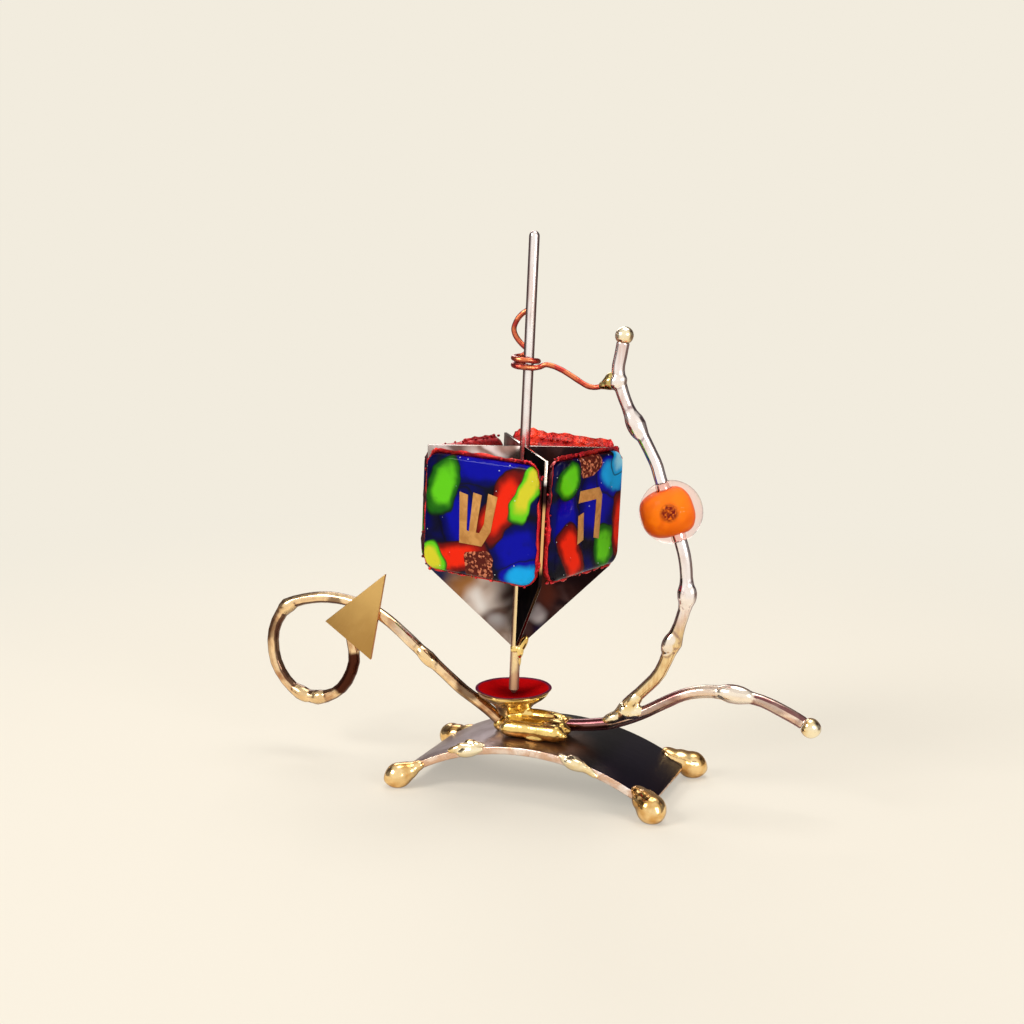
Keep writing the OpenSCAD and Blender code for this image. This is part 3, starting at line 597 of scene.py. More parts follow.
# The bead on the upright arm: place and slant, the hole's radius, and each ball's radius across,
# radius along the hole, squareness and shift to one side
beadLook = {
    "place": Vector((40.684, 0.0, 71.652)), "tilt": math.radians(-19.38), "bore": 1.75, "lip": 0.4,
    "glass": (7.66, 7.66, 2.0, 0.0), "core": (5.9, 5.35, 2.75, -0.85),
    "shiftFrom": 2.2, "shiftOver": 3.0,  # how far off the hole's line the shift starts and grows
    "clear": (1.0, 0.8, 0.78), "orange": ((0.84, 0.21, 0.002), (0.7, 0.12, 0.002)),
    "top": (0.9, 0.3, 0.03), "rim": (0.62, 0.07, 0.004), "swirl": (0.14, 0.01, 0.008),
    "swirlAt": Vector((1.1, -5.4, 0.6)), "swirlReach": (1.3, 2.7),
}


def clearBead():
    s = Sheet("clearBead")
    waves = s.cloud(s.place(), 0.2, 2.0)
    return s.finish(
        colour=beadLook["clear"], rough=0.02, through=1.0, bend=1.09, normal=s.bumps(waves, 0.2, 0.12)
    )


def emberCore():
    look = beadLook
    height = look["place"].z
    s = Sheet("emberCore")
    p = s.place()
    broad = s.cloud(p, 0.22, 3.0, 0.5, 0.8)
    colour = s.blend(broad.rise(0.3, 0.7), *look["orange"])
    colour = s.blend(s.axis(p, "Z").rise(height - 5.5, height + 5.0) * 0.35, colour, look["top"])
    # painted shade towards the core's rim
    colour = s.blend(s.outline(0.1, 0.75) * 0.75, colour, look["rim"])
    here = s.near(p, look["place"] + look["swirlAt"], *look["swirlReach"])
    ragged = s.cloud(p, 0.9, 3.0, 0.6, 3.0).rise(0.36, 0.5)
    colour = s.blend(here * ragged, colour, look["swirl"])
    return s.finish(colour=colour, rough=0.4, specular=0.05)


# Fused glass: scraps laid on a dark ground, each with its middle and half sizes as shares of the tile,
# its turn and its ink

glassInk = {
    "ground": (0.004, 0.004, 0.009), "blue": (0.002, 0.003, 0.36), "deepBlue": (0.001, 0.002, 0.1),
    "red": (0.84, 0.022, 0.004), "darkRed": (0.16, 0.006, 0.004), "lime": (0.12, 0.6, 0.012),
    "green": (0.012, 0.12, 0.006), "yellow": (0.66, 0.62, 0.03), "sky": (0.008, 0.38, 0.84),
    "pale": (0.28, 0.68, 0.9), "orange": (0.88, 0.13, 0.01), "glitter": (0.62, 0.2, 0.1),
    "glitterDeep": (0.09, 0.012, 0.008), "paintedGlint": (0.8, 0.88, 0.92),
}
glassShade = {  # the tone towards each scrap's rim
    "blue": "deepBlue", "sky": "blue", "pale": "sky", "lime": "green", "red": "darkRed", "yellow": "lime",
    "orange": "red",
}
roundInks = ("lime", "pale")  # scraps of the others are squarish
tileArt = {
    "shin": [
        ((0.62, 0.95), (0.5, 0.17), 0.05, "blue"), ((0.34, 0.47), (0.2, 0.27), 0.35, "blue"),
        ((0.84, 0.3), (0.26, 0.21), 0.45, "blue"), ((0.93, 0.07), (0.25, 0.13), 0.4, "sky"),
        ((0.17, 0.73), (0.15, 0.28), -0.25, "lime"), ((0.71, 0.63), (0.14, 0.38), -0.5, "red"),
        ((0.93, 0.8), (0.09, 0.3), -0.4, "yellow"), ((0.28, 0.14), (0.34, 0.13), 0.3, "red"),
        ((0.05, 0.08), (0.15, 0.14), 0.5, "yellow"),
    ],
    "hei": [
        ((0.62, 0.56), (0.3, 0.3), -0.3, "blue"), ((0.16, 0.5), (0.17, 0.25), 0.1, "blue"),
        ((0.84, 0.8), (0.26, 0.17), -0.3, "sky"), ((0.97, 0.95), (0.2, 0.13), 0.3, "pale"),
        ((0.26, 0.2), (0.15, 0.28), 0.5, "red"), ((0.74, 0.2), (0.17, 0.22), 0.2, "lime"),
        ((0.18, 0.83), (0.17, 0.16), 0.3, "lime"), ((0.95, 0.35), (0.1, 0.3), 0.1, "red"),
    ],
    "gimel": [
        ((0.3, 0.3), (0.34, 0.3), 0.0, "blue"), ((0.24, 0.68), (0.2, 0.3), 0.3, "lime"),
        ((0.78, 0.76), (0.26, 0.22), -0.2, "blue"), ((0.7, 0.3), (0.15, 0.34), 0.8, "red"),
        ((0.2, 0.08), (0.26, 0.11), 0.1, "yellow"), ((0.93, 0.14), (0.12, 0.2), 0.1, "sky"),
    ],
    "nun": [
        ((0.28, 0.34), (0.32, 0.26), 0.4, "blue"), ((0.16, 0.14), (0.22, 0.14), 0.4, "sky"),
        ((0.66, 0.72), (0.16, 0.36), 0.9, "red"), ((0.88, 0.3), (0.16, 0.32), 0.1, "lime"),
        ((0.18, 0.82), (0.21, 0.16), 0.2, "lime"), ((0.52, 0.06), (0.22, 0.1), 0.1, "orange"),
    ],
}
glitterPatch = {  # middle, half sizes and turn
    "shin": ((0.52, 0.1), (0.12, 0.14), 0.2), "hei": ((0.5, 0.94), (0.16, 0.1), 0.2),
    "gimel": ((0.5, 0.9), (0.2, 0.1), 0.1), "nun": ((0.62, 0.1), (0.1, 0.14), 0.3),
}


def fusedGlass(face):
    s = Sheet("fusedGlass." + face)
    flat = s.add("ShaderNodeTexCoord", out="UV")
    across = s.cloud(flat, 3.2, 2.0, 0.5, 0.3)
    upward = s.cloud(s.stretch(flat, (1.0, 1.0, 1.0), start=(3.1, 1.7, 0.0)), 3.2, 2.0, 0.5, 0.3)
    wander = s.add("ShaderNodeCombineXYZ", None, {0: across - 0.5, 1: upward - 0.5, 2: 0.0})
    stirred = s.vector("MULTIPLY_ADD", wander, (0.16, 0.16, 0.0), flat)

    def within(middle, half, turn):  # a scrap's own coordinates, 1 at its rim
        inside = s.stretch(stirred, (*half, 1.0), (0.0, 0.0, turn), (*middle, 0.0))
        return s.axis(inside, "X"), s.axis(inside, "Y")

    colour = s.blend(across.rise(0.4, 0.7), glassInk["ground"], glassInk["deepBlue"])
    tone = s.cloud(s.stretch(flat, (1.0, 2.2, 1.0), (0.0, 0.0, 0.4)), 7.0, 3.0, 0.55, 0.8)
    relief = None
    for middle, half, turn, ink in tileArt[face]:
        x, y = within(middle, half, turn)
        far = (x * x + y * y) ** 0.5 if ink in roundInks else (x ** 4.0 + y ** 4.0) ** 0.25
        rim = (far.rise(0.35, 0.98) * 0.8 + tone * 0.55).rise(0.3, 1.0)
        scrap = s.blend(rim, glassInk[ink], glassInk[glassShade[ink]])
        scrap = s.blend(far.rise(0.84, 1.0) * 0.92, scrap, glassInk["ground"])
        colour = s.blend(1 - far.rise(0.97, 1.04), colour, scrap)
        edge = 1 - far.rise(0.8, 1.1)
        relief = edge if relief is None else relief.most(edge * 0.9)
    x, y = within(*glitterPatch[face])
    dusty = 1 - (x ** 4.0 + y ** 4.0).rise(0.8, 1.1)
    spark = s.axis(s.cells(flat, 60.0, "Color"), "X").rise(0.6, 0.95)
    colour = s.blend(dusty, colour, s.blend(spark, glassInk["glitterDeep"], glassInk["glitter"]))
    # pale dots: painted highlights, which also dent the surface like bubbles
    rare = s.axis(s.cells(flat, 17.0, "Color"), "Y").rise(0.7, 0.72)
    bubblesAndGlints = (1 - s.cells(flat, 17.0).rise(0.05, 0.1)) * rare
    colour = s.blend(bubblesAndGlints * 0.8, colour, glassInk["paintedGlint"])
    colour = s.blend(s.cloud(flat, 9.0, 3.0, 0.6).rise(0.56, 0.8) * 0.3, colour, glassInk["ground"])
    height = relief * 0.6 + s.cloud(flat, 5.0, 2.0) * 0.8 - bubblesAndGlints * 0.4
    return s.finish(colour=colour, rough=0.05, bend=1.17, normal=s.bumps(height, 0.5, 0.4))


# Shapes

def copyOf(*names):  # one mesh from CAD nodes, its loose triangles merged
    shape = bmesh.new()
    for name in names:
        shape.from_mesh(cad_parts[name].data)
    for face in shape.faces:
        face.material_index = 0
    bmesh.ops.remove_doubles(shape, verts=shape.verts, dist=0.002 * mm)
    return shape


def moved(x, y, z):  # a matrix that moves by millimetres
    return Matrix.Translation(Vector((x, y, z)) * mm)


def keepInside(shape):  # nothing outside the CAD's box
    for v in shape.verts:
        v.co = [min(max(c, low), high) for c, low, high in zip(v.co, *cadBox)]


def publish(shape, name, body, replaced, *finishes, crease=40.0):
    keepInside(shape)
    mesh = bpy.data.meshes.new(name)
    shape.to_mesh(mesh)
    shape.free()
    piece = bpy.data.objects.new(name, mesh)
    bpy.context.scene.collection.objects.link(piece)
    for finish in finishes:
        mesh.materials.append(finish)
    mesh.shade_smooth()
    mesh.set_sharp_from_angle(angle=math.radians(crease))
    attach(piece, body)
    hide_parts(*replaced)
    return piece


def applied(piece, kind, **settings):  # applies one modifier and returns the mesh to work on
    tool = piece.modifiers.new("work", kind)
    for key, value in settings.items():
        setattr(tool, key, value)
    shaped = piece.evaluated_get(bpy.context.evaluated_depsgraph_get())
    mesh = bpy.data.meshes.new_from_object(shaped)
    piece.modifiers.clear()
    piece.data = mesh
    shape = bmesh.new()
    shape.from_mesh(mesh)
    return shape


def handBack(shape, piece):  # ends the work on a piece's shape
    keepInside(shape)
    shape.to_mesh(piece.data)
    shape.free()
    piece.data.shade_smooth()


def roundEdges(shape, edges, width, segments, clamp=False):
    bmesh.ops.bevel(
        shape, geom=edges, offset=width * mm, offset_type="OFFSET", affect="EDGES", segments=segments,
        profile=0.5, material=-1, clamp_overlap=clamp
    )


def bevelSharp(shape, width, angle=35.0, segments=3):
    limit = math.radians(angle)
    sharp = [e for e in shape.edges if len(e.link_faces) == 2 and e.calc_face_angle(0.0) > limit]
    roundEdges(shape, sharp, width, segments, True)


def toQuads(shape):
    bmesh.ops.join_triangles(
        shape, faces=shape.faces, angle_face_threshold=math.radians(50),
        angle_shape_threshold=math.radians(80)
    )


def ruffle(vertices, scale, amount, seed, keep=None):  # pushes vertices along their normals by noise
    offset = Vector((seed * 17.3, seed * 5.1, seed * 9.7))
    for v in vertices:
        push = noise.noise(v.co / mm * scale + offset) * amount * mm
        if keep:
            push *= keep(v.co)
        v.co += v.normal * push


def blob(shape, x, y, z, radius, stretch=(1.0, 1.0, 1.0), turn=0.0):
    place = moved(x, y, z) @ Matrix.Rotation(turn, 4, "Y")
    place = place @ Matrix.Diagonal((*stretch, 1.0))
    bmesh.ops.create_icosphere(shape, subdivisions=3, radius=radius * mm, matrix=place)


def turned(shape, points, steps, closed=False):  # a profile of radii and heights spun about Z
    line = [shape.verts.new((r * mm, 0.0, z * mm)) for r, z in points]
    pairs = zip(line, line[1:] + line[:1]) if closed else zip(line, line[1:])
    edges = [shape.edges.new(pair) for pair in pairs]
    bmesh.ops.spin(
        shape, geom=line + edges, cent=(0, 0, 0), axis=(0, 0, 1), angle=2 * math.pi, steps=steps,
        use_merge=True
    )
    bmesh.ops.remove_doubles(shape, verts=shape.verts, dist=0.004 * mm)


# Melted metal: the CAD's own solids, if own is set, run together with blobs and a turned flare. The voxel
# is the size of its grain, rough the scale and depth of its relief, and soften how often it is smoothed
def molten(
    name, body, replaced, finish, voxel=0.22, rough=(0.5, 0.25), blobs=(), seed=1.0, soften=4, flare=(),
    own=True
):
    shape = copyOf(*replaced) if own else bmesh.new()
    if flare:
        turned(shape, flare, 96)
    for b in blobs:
        blob(shape, *b)
    piece = publish(shape, name, body, replaced)
    shape = applied(piece, "REMESH", mode="VOXEL", voxel_size=voxel * mm, use_smooth_shade=True)
    for _ in range(soften):
        bmesh.ops.smooth_vert(
            shape, verts=shape.verts, factor=0.5, use_axis_x=True, use_axis_y=True, use_axis_z=True
        )
    shape.normal_update()
    ruffle(shape.verts, *rough, seed)
    handBack(shape, piece)
    piece.data.materials.clear()
    piece.data.materials.append(finish)


# Stage: floor, background, lamps and camera

stageLook = {
    "paper": (0.888, 0.838, 0.73), "floor": (0.86, 0.8, 0.69), "reach": 3.0,
    "dusk": (0.2, 0.14, 0.12), "board": (0.92, 0.87, 0.8),  # what metal sees of the floor, behind and ahead
    "glowFade": (90.0, 420.0), "mirrorFade": (60.0, 260.0),  # how far out the floor changes
    "darkRoom": (0.05, 0.036, 0.042), "brightBoard": (0.96, 0.93, 0.88), "softLight": (1.0, 0.97, 0.93),
    "sideways": (0.928, 0.373, 0.0),
    "eye": (0.1381, -0.343, 0.1316), "target": (-0.00037, -0.00015, 0.06905), "lens": 52.73, "sensor": 36.0,
    "lampTarget": (0.0, 0.0, 0.07),
}
lamps = {  # place, size, power and colour
    "keyLamp": ((-0.42, -0.5, 0.5), 0.3, 3.2, (1.0, 0.97, 0.93)),
    "sideLamp": ((0.55, -0.3, 0.25), 0.25, 1.4, (1.0, 0.98, 0.96)),
    "topLamp": ((0.05, 0.15, 0.7), 0.4, 1.9, (1.0, 0.98, 0.95)),
    "backLamp": ((-0.3, 0.5, 0.4), 0.3, 1.2, (1.0, 0.97, 0.93)),
}


def floorPaper():
    s = Sheet("floorPaper")
    flat = s.vector("MULTIPLY", s.place(), (1.0, 1.0, 0.0))
    out = s.vector("LENGTH", flat)
    seen, mirrored, through = s.rays("Is Camera Ray", "Is Glossy Ray", "Is Transmission Ray")
    lit = s.add("ShaderNodeBsdfDiffuse", None, {0: stageLook["floor"]})
    glow = s.add("ShaderNodeEmission", None, {0: stageLook["paper"], 1: 1.0})
    far = out.rise(*stageLook["glowFade"])
    paper = s.mix(seen.most(through) * (far * 0.55 + 0.45), lit, glow)
    ahead = s.vector("DOT_PRODUCT", flat, frontward) / out
    dusk = s.blend(ahead.rise(0.1, 0.5), stageLook["dusk"], stageLook["board"])
    dusk = s.add("ShaderNodeEmission", None, {0: dusk, 1: 1.0})
    surface = s.mix(mirrored * (1 - through) * out.rise(*stageLook["mirrorFade"]), paper, dusk)
    s.add("ShaderNodeOutputMaterial", None, {0: surface})
    return s.owner


def buildFloor():
    shape = bmesh.new()
    bmesh.ops.create_circle(shape, cap_ends=True, segments=96, radius=stageLook["reach"])
    mesh = bpy.data.meshes.new("floor")
    shape.to_mesh(mesh)
    shape.free()
    mesh.materials.append(floorPaper())
    floor = bpy.data.objects.new("floor", mesh)
    bpy.context.scene.collection.objects.link(floor)


def buildSky():  # metal sees a bright board ahead, a faint one to the sides and a dark room behind
    s = Sheet("studio", world=True)
    seen, mirrored, through = s.rays("Is Camera Ray", "Is Glossy Ray", "Is Transmission Ray")
    toward = s.add("ShaderNodeTexCoord", out="Generated")
    ahead, aside = (s.vector("DOT_PRODUCT", toward, way) for way in (frontward, stageLook["sideways"]))
    boards = ahead.rise(0.05, 0.45).most((aside * aside).rise(0.72, 0.9) * 0.2)
    boards = boards.most(s.axis(toward, "Z").rise(0.55, 0.9) * 0.8)
    gloss = s.blend(boards, stageLook["darkRoom"], stageLook["brightBoard"])
    gloss = s.blend((0.0 - ahead).rise(0.5, 0.85) * 0.15, gloss, stageLook["paper"])
    soft = s.add("ShaderNodeBackground", None, {0: stageLook["softLight"], 1: 0.34})
    shine = s.add("ShaderNodeBackground", None, {0: gloss, 1: 1.0})
    paper = s.add("ShaderNodeBackground", None, {0: stageLook["paper"], 1: 1.0})
    s.add("ShaderNodeOutputWorld", None, {0: s.mix(seen.most(through), s.mix(mirrored, soft, shine), paper)})
    bpy.context.scene.world = s.owner


def aimed(name, data, eye, target):  # puts a lamp or the camera in the scene
    thing = bpy.data.objects.new(name, data)
    thing.location = eye
    thing.rotation_euler = (Vector(target) - Vector(eye)).to_track_quat("-Z", "Y").to_euler()
    bpy.context.scene.collection.objects.link(thing)
    return thing


def buildStage():
    buildFloor()
    buildSky()
    for name, (place, size, power, colour) in lamps.items():
        light = bpy.data.lights.new(name, "AREA")
        light.size = size
        light.energy = power
        light.color = colour
        aimed(name, light, place, stageLook["lampTarget"])
    view = bpy.data.cameras.new("view")
    view.lens = stageLook["lens"]
    view.sensor_width = stageLook["sensor"]
    view.clip_start = 0.01
    bpy.context.scene.camera = aimed("view", view, stageLook["eye"], stageLook["target"])
    bpy.context.scene.view_settings.view_transform = "Standard"
    print("dreidel: floor, background, lamps and camera made")


# Base: plate, feet, edge drops, brazing and cup. A blob is its middle, radius, stretch and turn about Y

footBlobs = {
    "foot_front_left": [
        (-23.0, -16.6, 3.7, 2.95, (1.3, 1.0, 0.86), -0.25), (-20.6, -15.4, 4.9, 1.9, (1.5, 1.0, 0.8), -0.4),
    ],
    "foot_front_right": [
        (40.4, -15.9, 4.2, 3.3, (1.15, 1.1, 0.9), 0.4), (38.6, -14.5, 5.6, 2.2, (1.3, 1.2, 0.7), 0.45),
    ],
    "foot_back_left": [
        (-23.2, 16.0, 3.9, 3.0, (1.3, 1.0, 0.85), -0.25), (-20.2, 15.0, 5.2, 2.2, (1.8, 1.0, 0.75), -0.4),
    ],
    "foot_back_right": [
        (40.6, 15.9, 4.2, 3.2, (1.2, 1.1, 0.88), 0.4), (38.2, 14.8, 5.7, 2.3, (1.5, 1.2, 0.7), 0.45),
    ],
}
edgeBlobs = [
    (-6.0, -15.5, 12.2, 1.2, (2.6, 0.8, 0.7)), (-9.4, -15.4, 10.9, 1.2, (2.0, 0.8, 0.8), -0.35),
    (-3.0, -15.4, 12.9, 1.0, (1.8, 0.8, 0.8)), (-5.4, -14.8, 13.2, 0.9, (2.0, 1.0, 0.6)),
    (22.5, -15.6, 11.2, 1.2, (2.4, 0.8, 0.7), 0.45), (26.2, -15.5, 9.6, 1.2, (2.0, 0.8, 0.8), 0.5),
    (19.4, -15.4, 12.3, 1.0, (1.8, 0.8, 0.8), 0.35), (22.0, -14.8, 12.2, 0.9, (2.0, 1.0, 0.6), 0.4),
]
brazingBlobs = [
    (0.6, -2.4, 15.8, 1.9, (1.0, 1.0, 1.3)), (3.0, -4.0, 15.2, 1.5, (1.8, 0.8, 0.8)),
    (15.0, -3.4, 15.2, 1.5, (1.3, 0.9, 0.8)), (15.4, -7.4, 14.8, 1.4, (1.3, 0.9, 0.8)),
    (0.4, -6.6, 14.7, 1.6), (9.0, -8.8, 13.8, 1.1, (2.4, 0.8, 0.6)), (-0.8, 0.6, 14.8, 1.7),
    (0.0, -1.6, 18.4, 1.5, (1.0, 1.0, 1.6)), (14.6, 0.6, 15.6, 1.9, (1.4, 1.0, 1.0)),
    (8.4, -0.9, 17.5, 1.5, (4.6, 1.0, 0.95), 0.02), (4.0, -1.4, 17.9, 1.3, (1.8, 1.0, 1.0)),
    (12.6, -1.6, 17.0, 1.3, (1.5, 1.0, 0.8)), (11.6, -7.6, 15.9, 1.2, (2.2, 0.9, 0.7)),
]
dishFlare = [  # radii and heights of the cone under the dish
    (0.0, 16.8), (3.9, 16.8), (4.3, 18.0), (4.8, 19.0), (5.6, 19.9), (6.9, 20.8), (8.3, 21.6), (9.2, 22.4),
    (9.3, 23.15), (8.0, 22.9), (6.0, 22.42), (4.0, 22.03), (2.0, 21.83), (0.0, 21.78),
]


def buildFeet(footBrass):
    for count, (name, blobs) in enumerate(footBlobs.items()):
        molten(
            name + ".dressed", "stand", [name], footBrass, blobs=blobs, seed=count + 2.0, rough=(0.1, 0.12),
            soften=26
        )


def buildPlate():
    shape = copyOf("base_plate")
    bevelSharp(shape, plateLook["bevel"])
    shape.normal_update()
    for face in shape.faces:
        side = abs(face.normal.y) > 0.5 or abs(face.normal.x) > 0.7
        face.material_index = 1 if side else 0
    publish(shape, "archedPlate", "stand", ["base_plate"], darkPlate(), plateEdge(), crease=30.0)


def buildCup():
    look = cupLook
    shape = bmesh.new()
    ball = (look["radius"] ** 2 + look["rise"] ** 2) / (2 * look["rise"])
    radii = [look["radius"] * k / look["steps"] for k in range(look["steps"] + 1)]
    inner = [(r, look["floor"] + ball - math.sqrt(ball ** 2 - r ** 2)) for r in radii]
    outer = [(r, z - look["wall"]) for r, z in reversed(inner)]
    turned(shape, inner + outer, 96)
    bmesh.ops.recalc_face_normals(shape, faces=shape.faces)
    bevelSharp(shape, look["rim"], 50.0)
    for v in shape.verts:  # the rim is a little wavy
        out = math.hypot(v.co.x, v.co.y) / mm / look["radius"]
        v.co.z += noise.noise(v.co / mm * look["waveScale"]) * look["wave"] * mm * out ** 3
    publish(shape, "flameCup", "stand", ["cup"], flameCup(), crease=60.0)


def buildBase(brass, footBrass, cream):
    buildFeet(footBrass)
    molten(
        "edgeDrops", "stand", ["edge_drops"], cream, voxel=0.16, blobs=edgeBlobs, seed=7.0,
        rough=(0.3, 0.25), soften=12
    )
    buildPlate()
    molten(
        "brazing", "stand", ["brazed_ridges", "cup_neck"], brass, blobs=brazingBlobs, rough=(0.2, 0.4),
        soften=7, flare=dishFlare
    )
    buildCup()
    print("dreidel: base, feet and cup made")


# Arms with their balls and joints, the arrow head, the wire and the bead

uprightFillet = [
    (27.6, -0.2, 19.0, 1.85, (2.4, 0.98, 0.95), -0.4), (29.6, -0.2, 20.4, 2.0, (1.7, 0.95, 1.1), -0.6),
    (31.0, -0.1, 22.0, 1.9, (1.7, 0.9, 1.0), -0.8), (32.2, -0.2, 24.0, 1.8, (1.8, 0.98, 0.98), -0.9),
    (32.4, -0.2, 20.7, 1.85, (1.8, 0.98, 0.9), -0.4),
]
wireBlobs = [
    (24.6, -0.1, 101.9, 1.5, (1.8, 0.95, 0.85), -0.3), (25.4, -0.1, 103.0, 1.5, (1.3, 0.95, 1.1), -0.9),
]


def buildArms(cream):
    for name, rodBlobs in rodDrops.items():
        drops = [(x, y, z, radius, (length, 1.0, 1.0), turn) for x, y, z, radius, length, turn in rodBlobs]
        molten(
            name + ".dressed", "stand", [name], bentRod(name), voxel=0.2, blobs=drops, rough=(0.16, 0.12),
            soften=5
        )
    for name, node, seed in (("mainBall", "main_arm_ball", 4.0), ("uprightBall", "upright_arm_ball", 5.0)):
        molten(name, "stand", [node], cream, voxel=0.16, seed=seed, rough=(0.3, 0.2))


def buildJoints(brass, cream):
    olive = moltenBrass("oliveBrass", "olive", 0.2)
    joints = [  # name, CAD node, finish, voxel, relief, blobs, seed and rounds of smoothing
        ("uprightBraze", "upright_joint", cream, 0.14, (0.25, 0.12), uprightFillet, 6.0, 34),
        ("scrollBraze", "scroll_joint", brass, 0.14, (0.35, 0.3), (), 8.0, 5),
        ("arrowBraze", "arrow_joint", brass, 0.1, (0.7, 0.1), (), 9.0, 2),
        ("wireBraze", "wire_joint", olive, 0.12, (0.4, 0.15), wireBlobs, 10.0, 12),
    ]
    for name, node, *made in joints:
        molten(name, "stand", [node], *made)


def buildArrow():
    shape = copyOf("arrow_head")
    bevelSharp(shape, arrowLook["bevel"])
    publish(shape, "arrowHead", "stand", ["arrow_head"], brushedBrass(), crease=30.0)


def tightenRing(vertices):  # draws the wire's two turns close together
    look = wireLook

    def centre(turn):
        return look["height"] + look["pitch"] * (turn - 90) / 360

    for v in vertices:
        x, y, z = v.co / mm
        angle = math.degrees(math.atan2(-y, x - look["middle"])) % 360
        turns = (a for a in (angle, angle + 360) if a <= look["last"])
        turn = min(turns, key=lambda a: abs(z - centre(a)))
        if x > look["middle"] and math.hypot(x - look["middle"], y) > look["reach"]:
            turn = look["first"]
        elif abs(z - centre(turn)) > look["pitch"] / 2:
            turn = look["last"]
        v.co.z -= look["closer"] * max(0.0, turn - look["first"]) / 360 * mm


def buildWire():
    shape = copyOf("wire_guide")
    toQuads(shape)
    piece = publish(shape, "wire_guide.dressed", "stand", ["wire_guide"], copperWire())
    shape = applied(piece, "SUBSURF", levels=2, render_levels=2)
    shape.normal_update()
    ruffle(shape.verts, *wireLook["relief"], 3.0)
    tightenRing(shape.verts)
    handBack(shape, piece)


def buildBall(name, node, finish, radius, height, square, shift):  # a rounded ball with the rod's hole
    look = beadLook
    shape = bmesh.new()
    start = math.asin((look["bore"] / radius) ** (square / 2))
    steps = 24
    line = []
    for k in range(steps + 1):
        a = start + (math.pi - 2 * start) * k / steps
        rise = height * math.copysign(abs(math.cos(a)) ** (2 / square), math.cos(a))
        line.append((radius * math.sin(a) ** (2 / square), rise))
    turned(shape, line, 72, closed=True)
    bmesh.ops.recalc_face_normals(shape, faces=shape.faces)
    bevelSharp(shape, look["lip"], 40.0, 4)
    for v in shape.verts:  # past the hole, to one side
        share = (v.co.xy.length / mm - look["shiftFrom"]) / look["shiftOver"]
        v.co.x += shift * mm * min(1.0, max(0.0, share))
    place = moved(*look["place"]) @ Matrix.Rotation(look["tilt"], 4, "Y")
    bmesh.ops.transform(shape, matrix=place, verts=shape.verts)
    publish(shape, name, "stand", [node], finish, crease=80.0)


def buildStand():
    brass = moltenBrass("moltenBrass")
    footBrass = moltenBrass("footBrass", "foot", 0.15)
    cream = moltenBrass("creamBrass", "cream", 0.25)
    buildBase(brass, footBrass, cream)
    buildArms(cream)
    buildJoints(brass, cream)
    buildArrow()
    buildWire()
    buildBall("clearBead", "bead_glass", clearBead(), *beadLook["glass"])
    buildBall("emberCore", "bead_core", emberCore(), *beadLook["core"])
    print("dreidel: arms, arrow, bead and wire made")


# Dreidel: tiles with their foils and letters, fins and stem

dreidelLook = {
    "pivot": 22.324, "lean": 2.7, "turn": 33.6, "apothem": 16.442, "middle": 47.4,
    "tile": (32.2, 3.0, 28.8), "corner": 3.6, "edge": 1.3, "finBevel": 0.14, "stemBevel": 0.1,
    "faces": {"shin": 0.014, "hei": 0.05, "gimel": 0.03, "nun": 0.02},  # how far each sits up, as a share
}
stemBlobs = [
    (2.1, 0.6, 34.9, 1.15, (2.5, 0.95, 0.95), -1.08), (1.3, 0.3, 33.0, 1.2, (1.8, 1.0, 1.0), -1.3),
    (1.0, 0.25, 30.8, 1.05, (2.3, 1.0, 0.85), -1.5), (0.52, 0.0, 34.1, 1.5, (0.9, 1.0, 1.2)),
]


def quarterTurn(quarter):
    return math.radians(dreidelLook["turn"] + quarter * 90 - 45)


def faceMatrix(face, quarter):
    look = dreidelLook
    height = look["middle"] + look["tile"][2] * look["faces"][face]
    return (
        moved(0, 0, look["pivot"])
        @ Matrix.Rotation(math.radians(look["lean"]), 4, "Y")
        @ Matrix.Rotation(quarterTurn(quarter), 4, "Z")
        @ moved(0, -look["apothem"], height)
    )


def buildTile(face, quarter):
    look = dreidelLook
    wide, thick, high = look["tile"]
    shape = bmesh.new()
    bmesh.ops.create_cube(shape, size=1.0)
    bmesh.ops.scale(shape, vec=[v * mm for v in look["tile"]], verts=shape.verts)
    bmesh.ops.translate(shape, vec=(0, -thick / 2 * mm, 0), verts=shape.verts)
    through = [e for e in shape.edges if abs((e.verts[0].co - e.verts[1].co).normalized().y) > 0.9]
    roundEdges(shape, through, look["corner"], 10)
    rims = [e for e in shape.edges if e.calc_face_angle(0.0) > math.radians(60)]
    roundEdges(shape, rims, look["edge"], 6)
    coords = shape.loops.layers.uv.new("faceMap")
    for f in shape.faces:
        for loop in f.loops:
            co = loop.vert.co / mm
            loop[coords].uv = (co.x / wide + 0.5, co.z / high + 0.5)
    bmesh.ops.transform(shape, matrix=faceMatrix(face, quarter), verts=shape.verts)
    publish(shape, "glassTile." + face, "dreidel", ["tile_" + face], fusedGlass(face), crease=60.0)


def beadLip(shape, place, rng):  # beads of copper where the torn lip melted
    look = foilLook
    wide, _, high = (v / 2 + look["beadOut"] for v in dreidelLook["tile"])
    for _ in range(look["beads"]):
        side = rng.choice("bttbtb" if rng.random() < 0.6 else "btlr")
        u = rng.uniform(-look["beadSpan"], look["beadSpan"])
        x = {"l": -wide, "r": wide}.get(side, u * wide)
        z = {"b": -high, "t": high + look["lipAbove"]}.get(side, u * high)
        size = rng.uniform(*look["beadSize"])
        at = place @ moved(x, -rng.uniform(*look["lipDepth"]), z)
        at = at @ Matrix.Diagonal((rng.uniform(*look["beadWide"]), 0.9, rng.uniform(*look["beadHigh"]), 1.0))
        bmesh.ops.create_icosphere(shape, subdivisions=2, radius=size * mm, matrix=at)


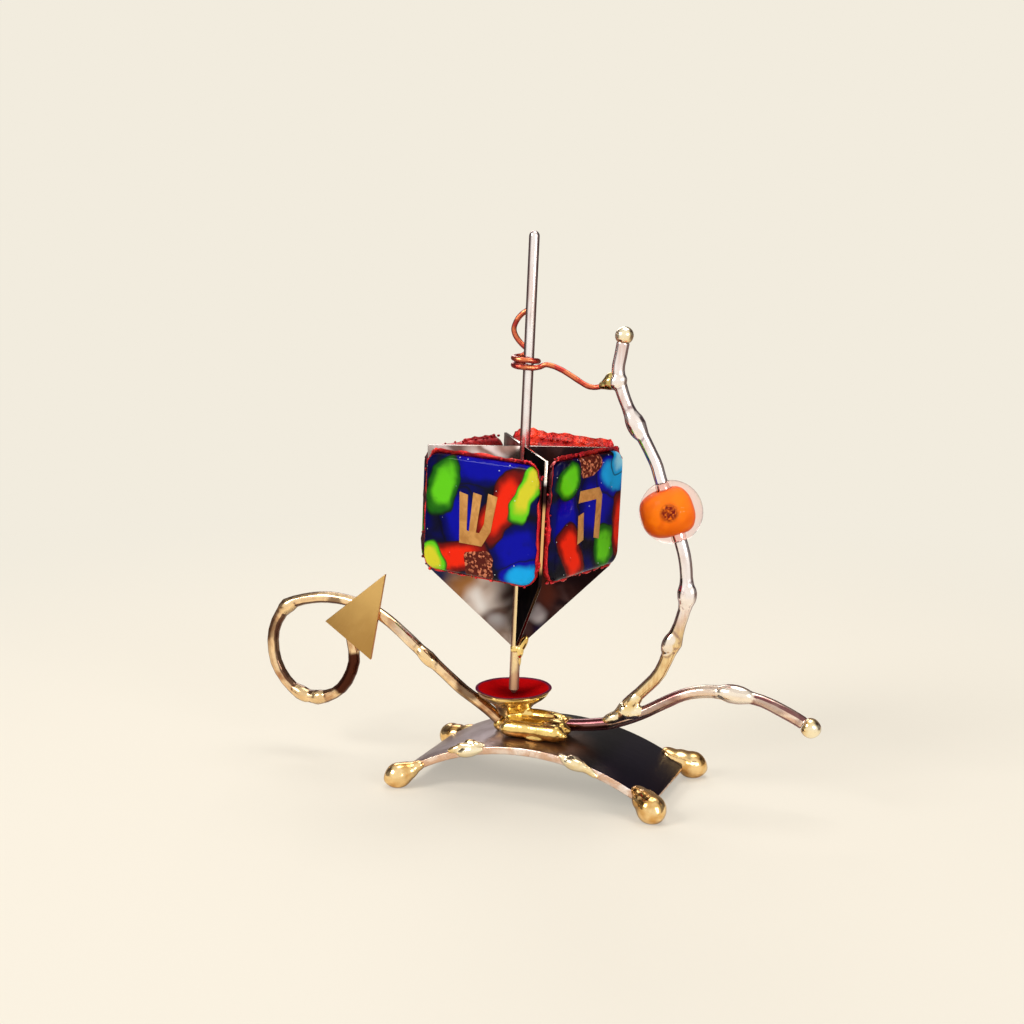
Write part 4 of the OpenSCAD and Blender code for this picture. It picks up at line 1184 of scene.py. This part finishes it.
def tearLow(shape, place, back):  # torn off low towards the left fin
    look = foilLook
    for v in shape.verts:
        flat = back @ v.co / mm
        over = flat.z - dreidelLook["tile"][2] / 2 - look["lipAbove"]
        if over > 0:
            share = (flat.x - look["tearStart"]) / (look["tearEnd"] - look["tearStart"])
            flat.z -= over * min(1.0, max(0.0, share)) * look["tear"]
            v.co = place @ (flat * mm)


def buildFoil(face, quarter):
    wide, _, high = dreidelLook["tile"]
    place = faceMatrix(face, quarter)
    back = place.inverted()
    shape = copyOf("foil_" + face)
    toQuads(shape)
    lip = [e for e in shape.edges if min((back @ v.co).y / mm for v in e.verts) < foilLook["lap"]]
    bmesh.ops.subdivide_edges(shape, edges=lip, cuts=1, use_grid_fill=True)
    shape.normal_update()

    def loose(co):  # 1 on the lip round the glass
        flat = back @ co / mm
        out = max(abs(flat.x) - wide / 2, abs(flat.z) - high / 2)
        return 1.0 if out > 0.02 and flat.y < foilLook["loose"] else foilLook["stiff"]

    ruffle(shape.verts, *foilLook["relief"], quarter + 1.0, loose)
    if face == "nun":
        tearLow(shape, place, back)
    beadLip(shape, place, random.Random(40 + quarter))
    finish = foilCopper(face, quarterTurn(quarter))
    publish(shape, "tornFoil." + face, "dreidel", ["foil_" + face], finish, crease=55.0)


def buildLetter(face, gold):
    shape = copyOf("letter_" + face)
    bevelSharp(shape, letterLook["bevel"], segments=2)
    publish(shape, "giltLetter." + face, "dreidel", ["letter_" + face], gold, crease=30.0)


def buildFin(name, edgeFinish):
    shape = copyOf(name)
    shape.normal_update()
    broad = max(shape.faces, key=lambda f: f.calc_area()).normal.copy()
    bevelSharp(shape, dreidelLook["finBevel"], segments=2)
    shape.normal_update()
    for f in shape.faces:
        f.material_index = 0 if abs(f.normal.dot(broad)) > 0.9 else 1
    publish(shape, name + ".dressed", "dreidel", [name], heatedSteel(name), edgeFinish, crease=30.0)


def buildStem():
    shape = copyOf("stem")
    bevelSharp(shape, dreidelLook["stemBevel"], segments=2)
    publish(shape, "stemRod", "dreidel", ["stem"], polishedSteel("stemSteel"), crease=35.0)
    brass = moltenBrass("stemBrass", relief=0.2)
    molten(
        "stemBraze", "dreidel", ["stem_drop"], brass, voxel=0.13, blobs=stemBlobs, seed=12.0,
        rough=(0.4, 0.1), soften=10, own=False
    )


def buildDreidel():
    gold = gilding()
    for quarter, face in enumerate(dreidelLook["faces"]):
        buildTile(face, quarter)
        buildFoil(face, quarter)
        buildLetter(face, gold)
    edge, nearEdge = polishedSteel("finEdge"), polishedSteel("finEdgeNear")
    for name in finLooks:
        buildFin(name, nearEdge if name == "fin_near" else edge)
    buildStem()
    print("dreidel: fins, foils, tiles and letters made")


buildStage()
buildStand()
buildDreidel()
